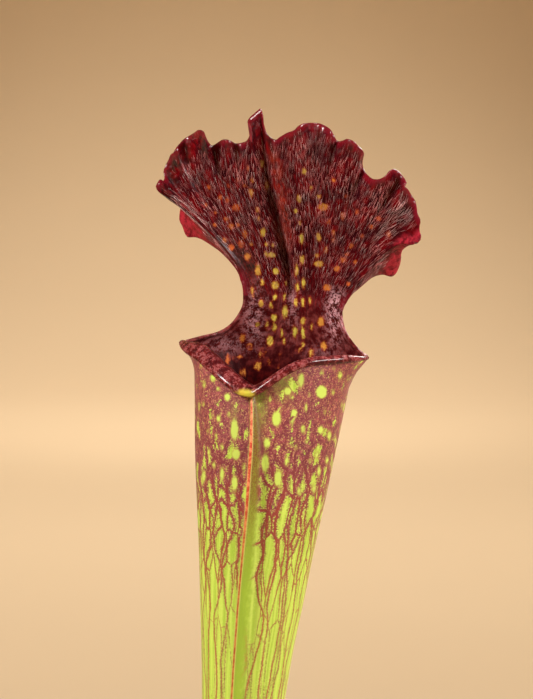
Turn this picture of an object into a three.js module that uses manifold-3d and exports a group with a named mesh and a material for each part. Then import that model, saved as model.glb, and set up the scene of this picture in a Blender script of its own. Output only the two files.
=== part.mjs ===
// Potted trumpet pitcher plant. Millimetres, +Z up.
// Origin: centre of the pot's flat base, on the surface the pot stands on.
// The keeled front of the main pitcher looks towards -Y, turned a little to -X.
import * as THREE from 'three';
import { mergeVertices } from 'three/addons/utils/BufferGeometryUtils.js';
import Module from 'manifold-3d';

const wasm = await Module();
wasm.setup();

// ---------------------------------------------------------------- driving dimensions
const POT_HEIGHT = 80;          // pot, base to rim
const POT_BASE_R = 31;          // outer radius of the flat base
const POT_WALL_R = 41.2;        // outer radius of the wall just under the collar
const POT_COLLAR_Z = 66;        // underside of the collar
const POT_COLLAR_R = 43.6;      // collar radius at its lower edge
const POT_RIM_R = 44.6;         // collar radius at the rim, the widest point
const POT_WALL = 1.7;           // wall thickness
const POT_FLOOR = 2.2;          // floor thickness
const DRAIN_HOLES = 4;
const DRAIN_R = 3.2;            // drain hole radius
const DRAIN_PITCH_R = 20;       // distance of the holes from the axis
const SOIL_TOP = 70;            // mean height of the soil surface
const GAP = 0.35;               // gap kept between pieces that touch
const LEAF_WALL = 0.9;          // leaf wall of the main pitcher
const YAW = 12;                 // degrees the main pitcher faces to -X
const MOUTH_X = 5.7;            // mouth axis of the main pitcher
const KEEL_EDGE = 0.45;         // half thickness of the keel at its edge
const LIP_R = 0.85;             // radius of the rolled lip
const GROW_TIP = [-6, 0];       // middle of the rosette

// Main pitcher tube: height, axis x, axis y, radius.
const TUBE = [
  [66.6, -8.9, 1.5, 3.1], [72, -8.5, 1.5, 2.85], [80, -7.95, 1.5, 2.55], [95, -6.7, 1.5, 2.6],
  [115, -5.0, 1.5, 3.35], [135, -3.1, 1.5, 4.55], [155, -1.25, 1.4, 6.1], [169.6, 0.03, 1.2, 7.42],
  [178.9, 0.75, 1.05, 8.25], [188.5, 1.64, 0.86, 9.35], [198, 2.48, 0.68, 10.4], [207.4, 3.32, 0.51, 11.6],
  [216.9, 4.16, 0.33, 12.75], [226.2, 5.09, 0.13, 13.7], [231.8, 5.6, 0.01, 14.25], [238, 5.95, 0, 14.6],
];
// Height of the front rim by angle round the tube (0 is the front, + towards the leaf's left).
const RIM = [
  [-92, 236.9], [-80, 236.5], [-69, 236.1], [-57, 235.45], [-46, 234.4], [-36, 233.3], [-27.5, 232.1], [-20, 231.05],
  [-13, 230.05], [-7, 229.5], [-2.4, 229.35], [1.7, 229.8], [7, 230.75], [13, 231.9], [19, 233.0], [24.6, 233.8],
  [30, 234.35], [38, 234.75], [54, 234.9], [70, 234.85], [80, 234.7], [92, 234.5],
];
// Keel height by height above the base.
const KEEL = [[84, 0.2], [100, 1.2], [125, 2.4], [150, 3.0], [180, 3.1], [200, 2.9], [215, 2.3], [225, 1.5], [229, 0.9]];

// Column and hood tables are in the leaf's own frame: parameter, across, height, back.
const EDGE_L = [
  [0, -17.47, 236.59, 0], [0.15, -14.58, 237.28, 4], [0.35, -12.15, 237.81, 6.8], [0.55, -9.96, 239.23, 8.2],
  [0.75, -8.12, 241.73, 8.2], [1, -7.27, 244.45, 7.4],
];
const EDGE_R = [
  [0, 17.32, 234.65, 0], [0.15, 14.9, 235.77, 3], [0.35, 13.27, 237.19, 5.2], [0.55, 12.12, 238.5, 6.8],
  [0.75, 11.46, 240.1, 7.6], [1, 11.26, 242.15, 7.6],
];
const BACK = [
  [0, 0, 235, 14.4], [0.5, 0.63, 238.39, 13.3], [1, 0.87, 243.3, 11.6],
];
const MARGIN_BASE = [
  [-1, -18.43, 255.66, 9], [-0.94, -19.88, 259.62, 5.5], [-0.87, -21.13, 264.35, 0.5], [-0.76, -21.11, 268.99, 0.5],
  [-0.62, -18.48, 272.86, 1.5], [-0.46, -13.15, 274.2, 1.5], [-0.3, -8.86, 273.88, 1], [-0.12, -4.89, 274.64, 1],
  [0, -3.3, 274.82, 1.5], [0.1, -0.94, 274.49, 1], [0.22, 3.4, 275.65, 0], [0.36, 8.9, 276.4, 0.5],
  [0.47, 13.19, 274.24, 0.5], [0.57, 16.64, 270.78, 1], [0.67, 20.26, 268.09, 0.5], [0.78, 24.42, 265.97, 0],
  [0.87, 26.58, 261.77, 0.5], [0.94, 27, 256.6, 1.5], [1, 21.51, 249.88, 9],
];
const MARGIN = [
  [-1, -19, 255.42, 13], [-0.994, -19.7, 255.53, 13.5], [-0.988, -20.09, 256.29, 13.5], [-0.978, -20.36, 257.46, 13],
  [-0.967, -20.82, 258.62, 12.5], [-0.959, -20.69, 259.6, 12], [-0.948, -20.25, 260.8, 11], [-0.935, -19.38, 261.49, 9],
  [-0.922, -19.93, 262, 6.5], [-0.904, -20.41, 262.93, 3], [-0.889, -20.63, 263.83, 0], [-0.881, -21.01, 264.46, -1.5],
  [-0.875, -21.33, 264.97, -2.5], [-0.87, -21.49, 265.64, -3], [-0.858, -21.2, 266.38, -3], [-0.844, -21.07, 266.88, -2],
  [-0.824, -20.78, 266.54, -0.5], [-0.809, -20.74, 267.14, 0.5], [-0.792, -21.05, 268.23, 1], [-0.774, -20.79, 269.32, 1.5],
  [-0.756, -20.21, 270.44, 1.5], [-0.74, -19.7, 271.39, 1], [-0.723, -18.88, 271.81, 0], [-0.708, -18.5, 272.55, 0],
  [-0.684, -17.98, 273.44, 1], [-0.658, -17.26, 274.34, 2], [-0.64, -16.31, 274.9, 2], [-0.62, -15.31, 275.4, 1],
  [-0.582, -13.88, 276.02, -1], [-0.56, -12.89, 275.88, -2], [-0.54, -12.63, 275.04, -1.5], [-0.505, -12.42, 273.88, 0],
  [-0.46, -12.05, 273.06, 2.5], [-0.429, -10.98, 273.64, 2], [-0.398, -10, 274.14, 1], [-0.369, -9.01, 274.28, 0],
  [-0.341, -8.18, 273.99, 0.5], [-0.3, -7.57, 273.48, 2], [-0.263, -6.25, 273.68, 2], [-0.232, -5.27, 274.09, 1],
  [-0.196, -4.49, 275.04, 0], [-0.155, -4.12, 276.36, -0.8], [-0.13, -4.22, 277.19, -1.2], [-0.115, -4.54, 277.65, -1.2],
  [-0.089, -4.35, 278.36, -0.6], [-0.06, -3.73, 278.99, 0], [-0.03, -3.11, 279.62, 0.6], [0, -2.63, 279.8, 1],
  [0.013, -2.39, 279.07, 1], [0.033, -2.31, 277.96, 1], [0.055, -2.24, 276.67, 1.2], [0.08, -1.98, 275.29, 1.5],
  [0.098, -1.53, 274.45, 2], [0.112, -0.77, 274.09, 2], [0.142, 0.94, 274.77, 1], [0.17, 2.46, 275.55, 0],
  [0.2, 4.16, 276.18, -1], [0.219, 4.82, 276.8, -1.5], [0.238, 5.47, 277.24, -1], [0.263, 6.2, 277.37, 0],
  [0.299, 7.21, 277.38, 1.5], [0.33, 8.33, 277.16, 2.5], [0.353, 9.55, 276.63, 2], [0.376, 10.48, 276.03, 1],
  [0.397, 11.05, 275.03, 1], [0.42, 11.42, 274.12, 2], [0.45, 12.91, 274.25, 0], [0.474, 14.11, 274.58, -1.5],
  [0.49, 15.1, 274.24, -1.8], [0.512, 15.79, 273.29, -0.5], [0.528, 16.44, 272.55, 0], [0.54, 16.5, 272.05, 1],
  [0.56, 16.09, 271.08, 2.5], [0.582, 15.91, 269.77, 3], [0.602, 16.38, 268.7, 2.5], [0.624, 17.3, 267.83, 1.5],
  [0.65, 18.5, 267.28, 0], [0.676, 19.97, 267.34, -1], [0.699, 21.16, 268.01, -1.5], [0.72, 21.81, 268.9, -1],
  [0.733, 22.28, 269.13, 0], [0.748, 22.95, 268.73, 1], [0.761, 23.6, 268.01, 1], [0.78, 24.51, 267.06, 0],
  [0.787, 24.68, 266.72, -0.5], [0.796, 24.28, 266.26, -0.5], [0.808, 24.79, 265.61, 0], [0.83, 25.37, 264.38, 1],
  [0.846, 26.12, 263.29, 1], [0.862, 26.52, 262.16, 0], [0.88, 26.91, 260.95, -1], [0.889, 27.46, 259.99, -1.5],
  [0.899, 27.12, 258.92, -0.5], [0.908, 27.05, 257.79, 0], [0.92, 27.53, 256.98, -1.5], [0.923, 27.46, 256.34, -2],
  [0.93, 26.13, 256.13, 0], [0.94, 24.54, 255.73, 3], [0.951, 22.84, 254.73, 6.5], [0.96, 22.15, 253.43, 9],
  [0.975, 21.79, 252.16, 11], [0.988, 21.3, 250.73, 12.5], [1, 20.66, 249.37, 13],
];
// Lower free edges of the hood, from the neck out: parameter, across, height, back.
const HOOD_EDGE_L = [
  [0, -7.27, 244.45, 7.4], [0.109, -7.4, 246.52, 7.4], [0.18, -7.75, 247.83, 7.4], [0.275, -8.46, 249.5, 7.6],
  [0.388, -9.8, 251.14, 8], [0.474, -10.95, 252.22, 8.4], [0.564, -12.24, 253.2, 9], [0.666, -13.78, 254.06, 9.8],
  [0.752, -15.1, 254.75, 10.5], [0.83, -16.26, 255.21, 11.3], [0.901, -17.39, 255.47, 12], [1, -19, 255.42, 13],
];
const HOOD_EDGE_R = [
  [0, 11.26, 242.15, 7.6], [0.068, 11.6, 243.1, 7.5], [0.172, 12.37, 244.44, 7.4], [0.281, 13.31, 245.76, 7.4],
  [0.378, 14.39, 246.69, 7.7], [0.495, 15.6, 247.78, 8.3], [0.6, 16.58, 248.62, 9.2], [0.71, 17.71, 249.06, 10.3],
  [0.807, 18.65, 249.05, 11.4], [0.87, 19.31, 248.77, 12], [0.917, 19.79, 248.64, 12.5], [1, 20.66, 249.37, 13],
];
const HOOD_SCALE_Z = 235;       // height about which smaller pitchers scale the hood tables
const RUFFLE_POWER = 5;         // how fast the ruffles die away inwards

// ---------------------------------------------------------------- small maths
const rad = THREE.MathUtils.degToRad;
const clamp = THREE.MathUtils.clamp;
const sstep = (x, a, b) => { const t = clamp((x - a) / (b - a), 0, 1); return t * t * (3 - 2 * t); };

// Cubic interpolation through rows [x, y0, y1, ...].
function curve(rows) {
  const x = rows.map((r) => r[0]);
  const y = rows.map((r) => r.slice(1));
  const n = x.length;
  const k = y[0].length;
  const h = [];
  const dl = [];
  for (let i = 0; i < n - 1; i++) {
    h.push(x[i + 1] - x[i]);
    dl.push(y[i].map((v, c) => (y[i + 1][c] - v) / h[i]));
  }
  const m = y.map((row, i) => row.map((_, c) => (i === 0 || i === n - 1 ? 0
    : (dl[i - 1][c] * h[i] + dl[i][c] * h[i - 1]) / (h[i - 1] + h[i]))));
  for (let c = 0; c < k; c++) {
    m[0][c] = 2 * dl[0][c] - m[1][c];
    m[n - 1][c] = 2 * dl[n - 2][c] - m[n - 2][c];
  }
  return (q) => {
    let i = 0;
    while (i < n - 2 && q >= x[i + 1]) i++;
    const t = (q - x[i]) / h[i];
    const t2 = t * t;
    const t3 = t2 * t;
    return y[i].map((v, c) => (2 * t3 - 3 * t2 + 1) * v + (t3 - 2 * t2 + t) * h[i] * m[i][c]
      + (3 * t2 - 2 * t3) * y[i + 1][c] + (t3 - t2) * h[i] * m[i + 1][c]);
  };
}

// ---------------------------------------------------------------- solids
function geometryFrom(points, tris) {
  const g = new THREE.BufferGeometry();
  g.setAttribute('position', new THREE.BufferAttribute(new Float32Array(points.flat()), 3));
  g.setIndex(tris.flat());
  return g;
}

function toManifold(geometry, matrix) {
  let g = geometry.clone();
  if (matrix) g.applyMatrix4(matrix);
  g.deleteAttribute('normal');
  g.deleteAttribute('uv');
  g = mergeVertices(g, 1e-4);
  const index = Uint32Array.from(g.index.array);
  return new wasm.Manifold(new wasm.Mesh({
    numProp: 3, vertProperties: Float32Array.from(g.attributes.position.array), triVerts: index,
  }));
}

function fromManifold(solid) {
  const mesh = solid.getMesh();
  const g = new THREE.BufferGeometry();
  const n = mesh.vertProperties.length / mesh.numProp;
  const pos = new Float32Array(n * 3);
  for (let i = 0; i < n; i++) for (let c = 0; c < 3; c++) pos[3 * i + c] = mesh.vertProperties[i * mesh.numProp + c];
  g.setAttribute('position', new THREE.BufferAttribute(pos, 3));
  g.setIndex(Array.from(mesh.triVerts));
  g.computeVertexNormals();
  return g;
}

// A closed skin through rings of points, with both ends capped by a fan.
function loft(rings) {
  const n = rings[0].length;
  const pts = rings.flat();
  const tris = [];
  for (let i = 0; i < rings.length - 1; i++) {
    for (let j = 0; j < n; j++) {
      const a = i * n + j;
      const b = i * n + ((j + 1) % n);
      tris.push([a, b, b + n], [a, b + n, a + n]);
    }
  }
  const mid = (r) => [0, 1, 2].map((c) => r.reduce((s, p) => s + p[c], 0) / n);
  const c0 = pts.length;
  pts.push(mid(rings[0]), mid(rings[rings.length - 1]));
  const last = (rings.length - 1) * n;
  for (let j = 0; j < n; j++) {
    const k = (j + 1) % n;
    tris.push([c0, k, j], [c0 + 1, last + j, last + k]);
  }
  let g = geometryFrom(pts, tris);
  if (volumeOf(g) < 0) g = geometryFrom(pts, tris.map(([a, b, c]) => [a, c, b]));
  return g;
}

function volumeOf(g) {
  const p = g.attributes.position;
  const ix = g.index.array;
  const a = new THREE.Vector3();
  const b = new THREE.Vector3();
  const c = new THREE.Vector3();
  let v = 0;
  for (let i = 0; i < ix.length; i += 3) {
    a.fromBufferAttribute(p, ix[i]);
    b.fromBufferAttribute(p, ix[i + 1]);
    c.fromBufferAttribute(p, ix[i + 2]);
    v += a.dot(b.cross(c)) / 6;
  }
  return v;
}

// A round-sectioned rod along points, radius per point.
function rod(points, radii, sides = 8, flatten = 1, flatDir = null) {
  const v = points.map((p) => new THREE.Vector3(...p));
  const rings = [];
  let nrm = null;
  for (let i = 0; i < v.length; i++) {
    const t = new THREE.Vector3().subVectors(v[Math.min(i + 1, v.length - 1)], v[Math.max(i - 1, 0)]).normalize();
    if (!nrm) {
      nrm = flatDir ? new THREE.Vector3(...flatDir) : (Math.abs(t.z) < 0.9 ? new THREE.Vector3(0, 0, 1) : new THREE.Vector3(1, 0, 0));
    }
    nrm = nrm.clone().addScaledVector(t, -nrm.dot(t)).normalize();
    const bin = new THREE.Vector3().crossVectors(t, nrm);
    const ring = [];
    const f = Array.isArray(flatten) ? flatten[i] : flatten;
    for (let j = 0; j < sides; j++) {
      const a = (2 * Math.PI * j) / sides;
      const q = v[i].clone().addScaledVector(nrm, radii[i] * Math.cos(a)).addScaledVector(bin, radii[i] * f * Math.sin(a));
      ring.push(q.toArray());
    }
    rings.push(ring);
  }
  return loft(rings);
}

// Gives a sheet of triangles a thickness and closes it round its free edges.
function thicken(points, tris, thickness) {
  const n = points.length;
  const nor = points.map(() => new THREE.Vector3());
  const A = new THREE.Vector3();
  const Bv = new THREE.Vector3();
  for (const [a, b, c] of tris) {
    const pa = new THREE.Vector3(...points[a]);
    A.set(...points[b]).sub(pa);
    Bv.set(...points[c]).sub(pa);
    const f = A.cross(Bv);
    for (const k of [a, b, c]) nor[k].add(f);
  }
  nor.forEach((v) => v.normalize());
  const th = points.map((_, i) => (typeof thickness === 'function' ? thickness(i) : thickness) / 2);
  const pts = [];
  for (let i = 0; i < n; i++) pts.push(points[i].map((x, c) => x + nor[i].getComponent(c) * th[i]));
  for (let i = 0; i < n; i++) pts.push(points[i].map((x, c) => x - nor[i].getComponent(c) * th[i]));
  const out = [];
  const edges = new Map();
  for (const [a, b, c] of tris) {
    out.push([a, b, c], [a + n, c + n, b + n]);
    for (const [p, q] of [[a, b], [b, c], [c, a]]) edges.set(`${p}_${q}`, [p, q]);
  }
  for (const [p, q] of edges.values()) {
    if (!edges.has(`${q}_${p}`)) out.push([p, p + n, q + n], [p, q + n, q]);
  }
  const g = geometryFrom(pts, out);
  return volumeOf(g) < 0 ? geometryFrom(pts, out.map(([a, b, c]) => [a, c, b])) : g;
}

// ---------------------------------------------------------------- pitcher
const edgeL = curve(EDGE_L);
const edgeR = curve(EDGE_R);
const backLine = curve(BACK);
const marginBase = curve(MARGIN_BASE);
const margin = curve(MARGIN);
const hoodEdgeL = curve(HOOD_EDGE_L);
const hoodEdgeR = curve(HOOD_EDGE_R);
const rimZ = curve(RIM);
const lipR = (a) => 14.7 + 2.9 * sstep(Math.abs(a), 45, 92);

// One row across the column, from its left free edge (t -1) to its right (t 1).
function columnRow(s, t) {
  const E = t < 0 ? edgeL(s) : edgeR(s);
  const C = backLine(s);
  const th = rad(88 - 26 * s);
  const k = Math.abs(t);
  const fp = Math.sin(k * th) / Math.sin(th);
  const fq = (1 - Math.cos(k * th)) / (1 - Math.cos(th));
  return [C[0] + (E[0] - C[0]) * fp, C[1] + (E[1] - C[1]) * k ** 1.6, C[2] + (E[2] - C[2]) * fq];
}

// One ray of the fan-shaped hood: s runs from the neck out to the margin.
function hoodRay(s, t) {
  const N = columnRow(1, t);
  const n1 = columnRow(0.999, t);
  const M = marginBase(t);
  const len = Math.hypot(M[0] - N[0], M[1] - N[1]);
  const T0 = N.map((v, c) => v - n1[c]);
  const l0 = Math.hypot(T0[0], T0[1]);
  for (let c = 0; c < 3; c++) T0[c] *= (0.75 * len) / l0;
  T0[0] += t * len * 0.25;
  T0[2] = -2.5;
  const edge = sstep(Math.abs(t), 0.75, 1);
  const T1 = M.map((v, c) => (v - N[c]) * 1.05);
  T1[0] = (1 - edge) * T1[0] + edge * Math.sign(t) * 11.5;
  T1[1] = (1 - edge) * T1[1] - edge * 0.4;
  T1[2] = -1;
  const s2 = s * s;
  const s3 = s2 * s;
  const W = s ** RUFFLE_POWER;
  const m = margin(t);
  const H = N.map((v, c) => (2 * s3 - 3 * s2 + 1) * v + (s3 - 2 * s2 + s) * T0[c]
    + (3 * s2 - 2 * s3) * M[c] + (s3 - s2) * T1[c] + W * (m[c] - M[c]));
  H[2] += 2.2 * Math.exp(-((t / 0.1) ** 2)) * Math.sin(Math.PI * s ** 0.8);
  return H;
}

// The same, with the outer rays drawn onto the hood's two lower free edges.
function hoodPoint(s, t) {
  const H = hoodRay(s, t);
  const side = Math.sign(t);
  const w = sstep(Math.abs(t), 0.55, 1);
  if (w === 0) return H;
  const free = (side < 0 ? hoodEdgeL : hoodEdgeR)(s);
  const ray = hoodRay(s, side);
  return H.map((v, c) => v + w * (free[c] - ray[c]));
}

// o: tube table, mouth x y z, yaw, size of mouth and hood, counts of segments.
function pitcher(o) {
  const tube = curve(o.tube);
  const yaw = rad(o.yaw);
  const back = [Math.sin(yaw), Math.cos(yaw)];
  const across = [Math.cos(yaw), -Math.sin(yaw)];
  const k = o.size;
  const mz = o.mouth[2];
  // leaf frame to object frame
  const place = ([p, z, q]) => [
    o.mouth[0] + k * (p * across[0] + q * back[0]),
    o.mouth[1] + k * (p * across[1] + q * back[1]),
    mz + k * (z - HOOD_SCALE_Z),
  ];
  const round = (a, z, radius) => {
    const [x, y, r0] = tube(z);
    const r = radius ?? r0;
    const p = r * Math.sin(rad(a));
    const q = -r * Math.cos(rad(a));
    return [x + p * across[0] + q * back[0], y + p * across[1] + q * back[1], z];
  };
  const cols = [];
  for (let i = 0; i <= o.nBack; i++) {
    const t = -1 + (2 * i) / o.nBack;
    cols.push({ t, a: t < 0 ? -180 - 90 * t : 180 - 90 * t, top: place(columnRow(0, t)) });
  }
  // t -1 is angle -90, t 0 the back at 180, t 1 is angle +90
  for (const c of cols) c.a = c.t <= 0 ? -(180 - 90 * -c.t) : 180 - 90 * c.t;
  for (let i = 1; i < o.nFront; i++) {
    const a = 90 - (180 * i) / o.nFront;
    const zr = mz + k * (rimZ(a)[0] - HOOD_SCALE_Z);
    const [x, y] = tube(zr);
    const r = k * lipR(a);
    const p = r * Math.sin(rad(a));
    const q = -r * Math.cos(rad(a));
    cols.push({ t: null, a, top: [x + p * across[0] + q * back[0], y + p * across[1] + q * back[1], zr] });
  }
  const K = cols.length;
  const z0 = o.tube[0][0];
  const blend = 9 * k;
  const pts = [];
  const tris = [];
  for (let i = 0; i <= o.nTube; i++) {
    const f = i / o.nTube;
    const ff = f * (1.35 - 0.35 * f);
    for (const c of cols) {
      const z = z0 + (c.top[2] - z0) * ff;
      const w = sstep(z, c.top[2] - 1.6 * blend, c.top[2] + 0.4 * blend) / sstep(0, -1.6, 0.4);
      const b = round(c.a, z);
      const e = round(c.a, c.top[2]);
      pts.push([b[0] + (c.top[0] - e[0]) * w, b[1] + (c.top[1] - e[1]) * w, z]);
    }
  }
  for (let i = 0; i < o.nTube; i++) {
    for (let j = 0; j < K; j++) {
      const a = i * K + j;
      const b = i * K + ((j + 1) % K);
      tris.push([a, b, b + K], [a, b + K, a + K]);
    }
  }
  // closed foot
  const foot = pts.length;
  pts.push([o.tube[0][1], o.tube[0][2], z0]);
  for (let j = 0; j < K; j++) tris.push([foot, (j + 1) % K, j]);
  // column and hood rise from the back half of the rim
  let prev = [];
  for (let j = 0; j <= o.nBack; j++) prev.push(o.nTube * K + j);
  const rows = [];
  for (let i = 1; i <= o.nColumn; i++) rows.push((t) => columnRow(i / o.nColumn, t));
  for (let i = 1; i <= o.nHood; i++) rows.push((t) => hoodPoint((i / o.nHood) ** 0.9, t));
  const hoodStart = pts.length;
  for (const row of rows) {
    const cur = [];
    for (let j = 0; j <= o.nBack; j++) {
      cur.push(pts.length);
      pts.push(place(row(-1 + (2 * j) / o.nBack)));
    }
    for (let j = 0; j < o.nBack; j++) {
      tris.push([prev[j], prev[j + 1], cur[j + 1]], [prev[j], cur[j + 1], cur[j]]);
    }
    prev = cur;
  }
  const total = pts.length;
  const wall = (i) => (i < hoodStart ? o.wall : o.wall * (1 - 0.3 * (i - hoodStart) / (total - hoodStart)));
  let solid = toManifold(thicken(pts, tris, wall));

  // rolled lip from ear to ear round the front
  const lip = [];
  const lr = [];
  const nl = o.nFront;
  for (let i = 0; i <= nl; i++) {
    const a = -91 + (182 * i) / nl;
    const zr = mz + k * (rimZ(a)[0] - HOOD_SCALE_Z);
    const [x, y] = tube(zr);
    const r = k * (lipR(a) + 0.3);
    const p = r * Math.sin(rad(a));
    const q = -r * Math.cos(rad(a));
    lip.push([x + p * across[0] + q * back[0], y + p * across[1] + q * back[1], zr - 0.2 * k]);
    lr.push(k * LIP_R * (Math.abs(a) > 88 ? 0.6 : 1));
  }
  solid = solid.add(toManifold(rod(lip, lr, 6)));

  // keel down the front
  const keel = curve(o.keel);
  const zs = o.keel[0][0];
  const ze = o.keel[o.keel.length - 1][0];
  const rings = [];
  for (let i = 0; i <= o.nKeel; i++) {
    const z = zs + ((ze - zs) * i) / o.nKeel;
    const [x, y, r] = tube(z);
    const h = Math.max(keel(z)[0], 0.15);
    const put = (p, q) => [x + p * across[0] - q * back[0], y + p * across[1] - q * back[1], z];
    const w = Math.min(1.3, r * 0.5) * (0.5 + 0.5 * k);
    const e = KEEL_EDGE * (0.4 + 0.6 * k);
    rings.push([put(-w, r - 0.3), put(w, r - 0.3), put(e, r + h), put(-e, r + h)]);
  }
  solid = solid.add(toManifold(loft(rings)));
  return solid;
}

const main = pitcher({
  tube: TUBE, keel: KEEL, mouth: [MOUTH_X, 0, HOOD_SCALE_Z], yaw: YAW, size: 1, wall: LEAF_WALL,
  nBack: 24, nFront: 18, nTube: 11, nColumn: 4, nHood: 9, nKeel: 12,
});

// A younger pitcher: base x y, mouth x y z, size, yaw.
function youngTube(base, mouth, k) {
  const rows = [];
  const shape = [[0, 0.17], [0.08, 0.15], [0.2, 0.165], [0.4, 0.3], [0.6, 0.52], [0.8, 0.78], [1, 1], [1.12, 1.05]];
  const z0 = base[2];
  const h = mouth[2] - z0;
  for (const [f, r] of shape) {
    const lean = f ** 1.5;
    rows.push([z0 + h * f, base[0] + (mouth[0] - base[0]) * lean, base[1] + (mouth[1] - base[1]) * lean, Math.max(14.4 * k * r, 1.55)]);
  }
  return rows;
}
function young(base, mouth, k, yaw) {
  const h = mouth[2] - base[2];
  const keel = [[base[2] + 0.22 * h, 0.2], [base[2] + 0.4 * h, 1.6 * k + 0.3], [base[2] + 0.7 * h, 3.4 * k], [mouth[2] - 8 * k, 1.8 * k], [mouth[2] - 6 * k, 1.0 * k]];
  return pitcher({
    tube: youngTube(base, mouth, k), keel, mouth, yaw, size: k, wall: 0.75,
    nBack: 12, nFront: 8, nTube: 7, nColumn: 2, nHood: 5, nKeel: 4,
  });
}
const SMALL_1 = { base: [0.2, 6.2, 67.6], mouth: [15.5, 17, 128], size: 0.5, yaw: 38 };
const SMALL_2 = { base: [-15.2, -4.6, 67.2], mouth: [-24.5, -14, 111], size: 0.4, yaw: -62 };
const small1 = young(SMALL_1.base, SMALL_1.mouth, SMALL_1.size, SMALL_1.yaw);
const small2 = young(SMALL_2.base, SMALL_2.mouth, SMALL_2.size, SMALL_2.yaw);

// ---------------------------------------------------------------- unopened pitcher and flat leaves
const along = (a, b, n, bend) => {
  const out = [];
  for (let i = 0; i <= n; i++) {
    const f = i / n;
    const g = f ** bend;
    out.push([a[0] + (b[0] - a[0]) * g, a[1] + (b[1] - a[1]) * g, a[2] + (b[2] - a[2]) * f]);
  }
  return out;
};
const BUD = { base: [-5.2, -6.6, 67.6], tip: [-0.5, -17.5, 139] };
const budPath = along(BUD.base, BUD.tip, 12, 1.5);
const budR = [1.9, 1.75, 1.7, 1.8, 2.0, 2.3, 2.7, 3.1, 3.45, 3.7, 3.6, 2.6, 0.5];
const budFlat = [1, 1, 1, 1, 1, 1, 0.95, 0.9, 0.85, 0.75, 0.6, 0.45, 0.5];
const bud = rod(budPath, budR, 10, budFlat, [1, 0, 0]);

function sword(base, tip, width, dir) {
  const n = 10;
  const path = along(base, tip, n, 1.7);
  const w = [1.7, 1.7, 1.9, 0.72 * width, 0.9 * width, width, width, 0.92 * width, 0.74 * width, 0.45 * width, 0.35];
  const f = [0.9, 0.85, 0.7, 0.5, 0.35, 0.28, 0.25, 0.25, 0.28, 0.4, 0.7];
  return rod(path, w, 8, f, dir);
}
const phyllode1 = sword([-16.4, 5.6, 67.2], [-33, 17, 122], 3.6, [0.6, 0.8, 0]);
const phyllode2 = sword([4.6, -1.6, 67.4], [27, -13, 131], 3.8, [0.5, 0.86, 0]);
const phyllode3 = sword([-8.2, 9.4, 67.2], [-9, 31, 116], 3.4, [1, 0.1, 0]);

// Dry, cut-back bases of two old leaves.
const stub = (base, tip, r) => rod([base, [base[0] * 0.4 + tip[0] * 0.6, base[1] * 0.4 + tip[1] * 0.6, base[2] * 0.4 + tip[2] * 0.6], tip], [r * 1.15, r, r * 0.85], 8);
const leafBase1 = stub([9.6, 4.2, 67.2], [13, 6.2, 79], 2.1);
const leafBase2 = stub([7.6, -6.6, 67.0], [10.4, -9.4, 76], 1.9);

// ---------------------------------------------------------------- rhizome with roots
const CROWN = { c: [-4, 1, 62], r: [20, 14.5, 8.6] };
const sphere = new THREE.SphereGeometry(1, 16, 10);
sphere.rotateX(Math.PI / 2);
const ellipsoid = (c, r) => toManifold(sphere, new THREE.Matrix4().compose(
  new THREE.Vector3(...c), new THREE.Quaternion(), new THREE.Vector3(...r)));
const stemPath = [[6, 2, 60], [14, 3, 57.5], [21, 4.5, 55.5], [27, 6, 54.5]];
const ROOTS = [
  [[-14, -2, 57], [-20, -5, 44], [-23, -9, 30], [-20, -14, 17]],
  [[-6, 6, 55], [-8, 12, 42], [-4, 17, 28], [-6, 20, 14]],
  [[2, -6, 56], [5, -12, 43], [9, -14, 29], [7, -19, 15]],
  [[10, 2, 54], [15, 4, 42], [20, 3, 30], [21, 8, 18]],
  [[18, 4, 52], [24, 9, 43], [26, 14, 33], [22, 20, 24]],
];
function rhizomeSolid(extra) {
  let r = ellipsoid(CROWN.c, CROWN.r.map((x) => x + extra));
  r = r.add(toManifold(rod(
    [[stemPath[0][0] - extra, stemPath[0][1], stemPath[0][2]], ...stemPath.slice(1, 3), [stemPath[3][0] + extra, stemPath[3][1], stemPath[3][2]]],
    [7.6, 7.2, 6.6, 4.6].map((x) => x + extra * 1.1), 10)));
  for (const path of ROOTS) {
    const p = path.map((q, i) => (i === path.length - 1 ? [q[0], q[1], q[2] - extra] : q));
    r = r.add(toManifold(rod(p, [1.5, 1.25, 1.0, 0.6].map((x) => x + extra * 1.35), 5)));
  }
  return r;
}
const sockets = [
  [TUBE[0][1], TUBE[0][2], 66.6, 3.65], [...SMALL_1.base, 2.6], [...SMALL_2.base, 2.6],
  [...BUD.base, 2.3], [-16.4, 5.6, 67.2, 2.3], [4.6, -1.6, 67.4, 2.3], [-8.2, 9.4, 67.2, 2.3],
  [9.6, 4.2, 67.2, 3.0], [7.6, -6.6, 67.0, 2.75],
];
// Each leaf stands in a shallow socket of the crown.
const socketCut = ([x, y, z, r]) => {
  const cyl = new THREE.CylinderGeometry(r + GAP + 0.4, r + GAP + 0.05, 12, 10);
  cyl.rotateX(Math.PI / 2);
  return toManifold(cyl, new THREE.Matrix4().makeTranslation(x, y, z - 0.85 + 6));
};
let rhizome = rhizomeSolid(0);
for (const s of sockets) rhizome = rhizome.subtract(socketCut(s));

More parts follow.
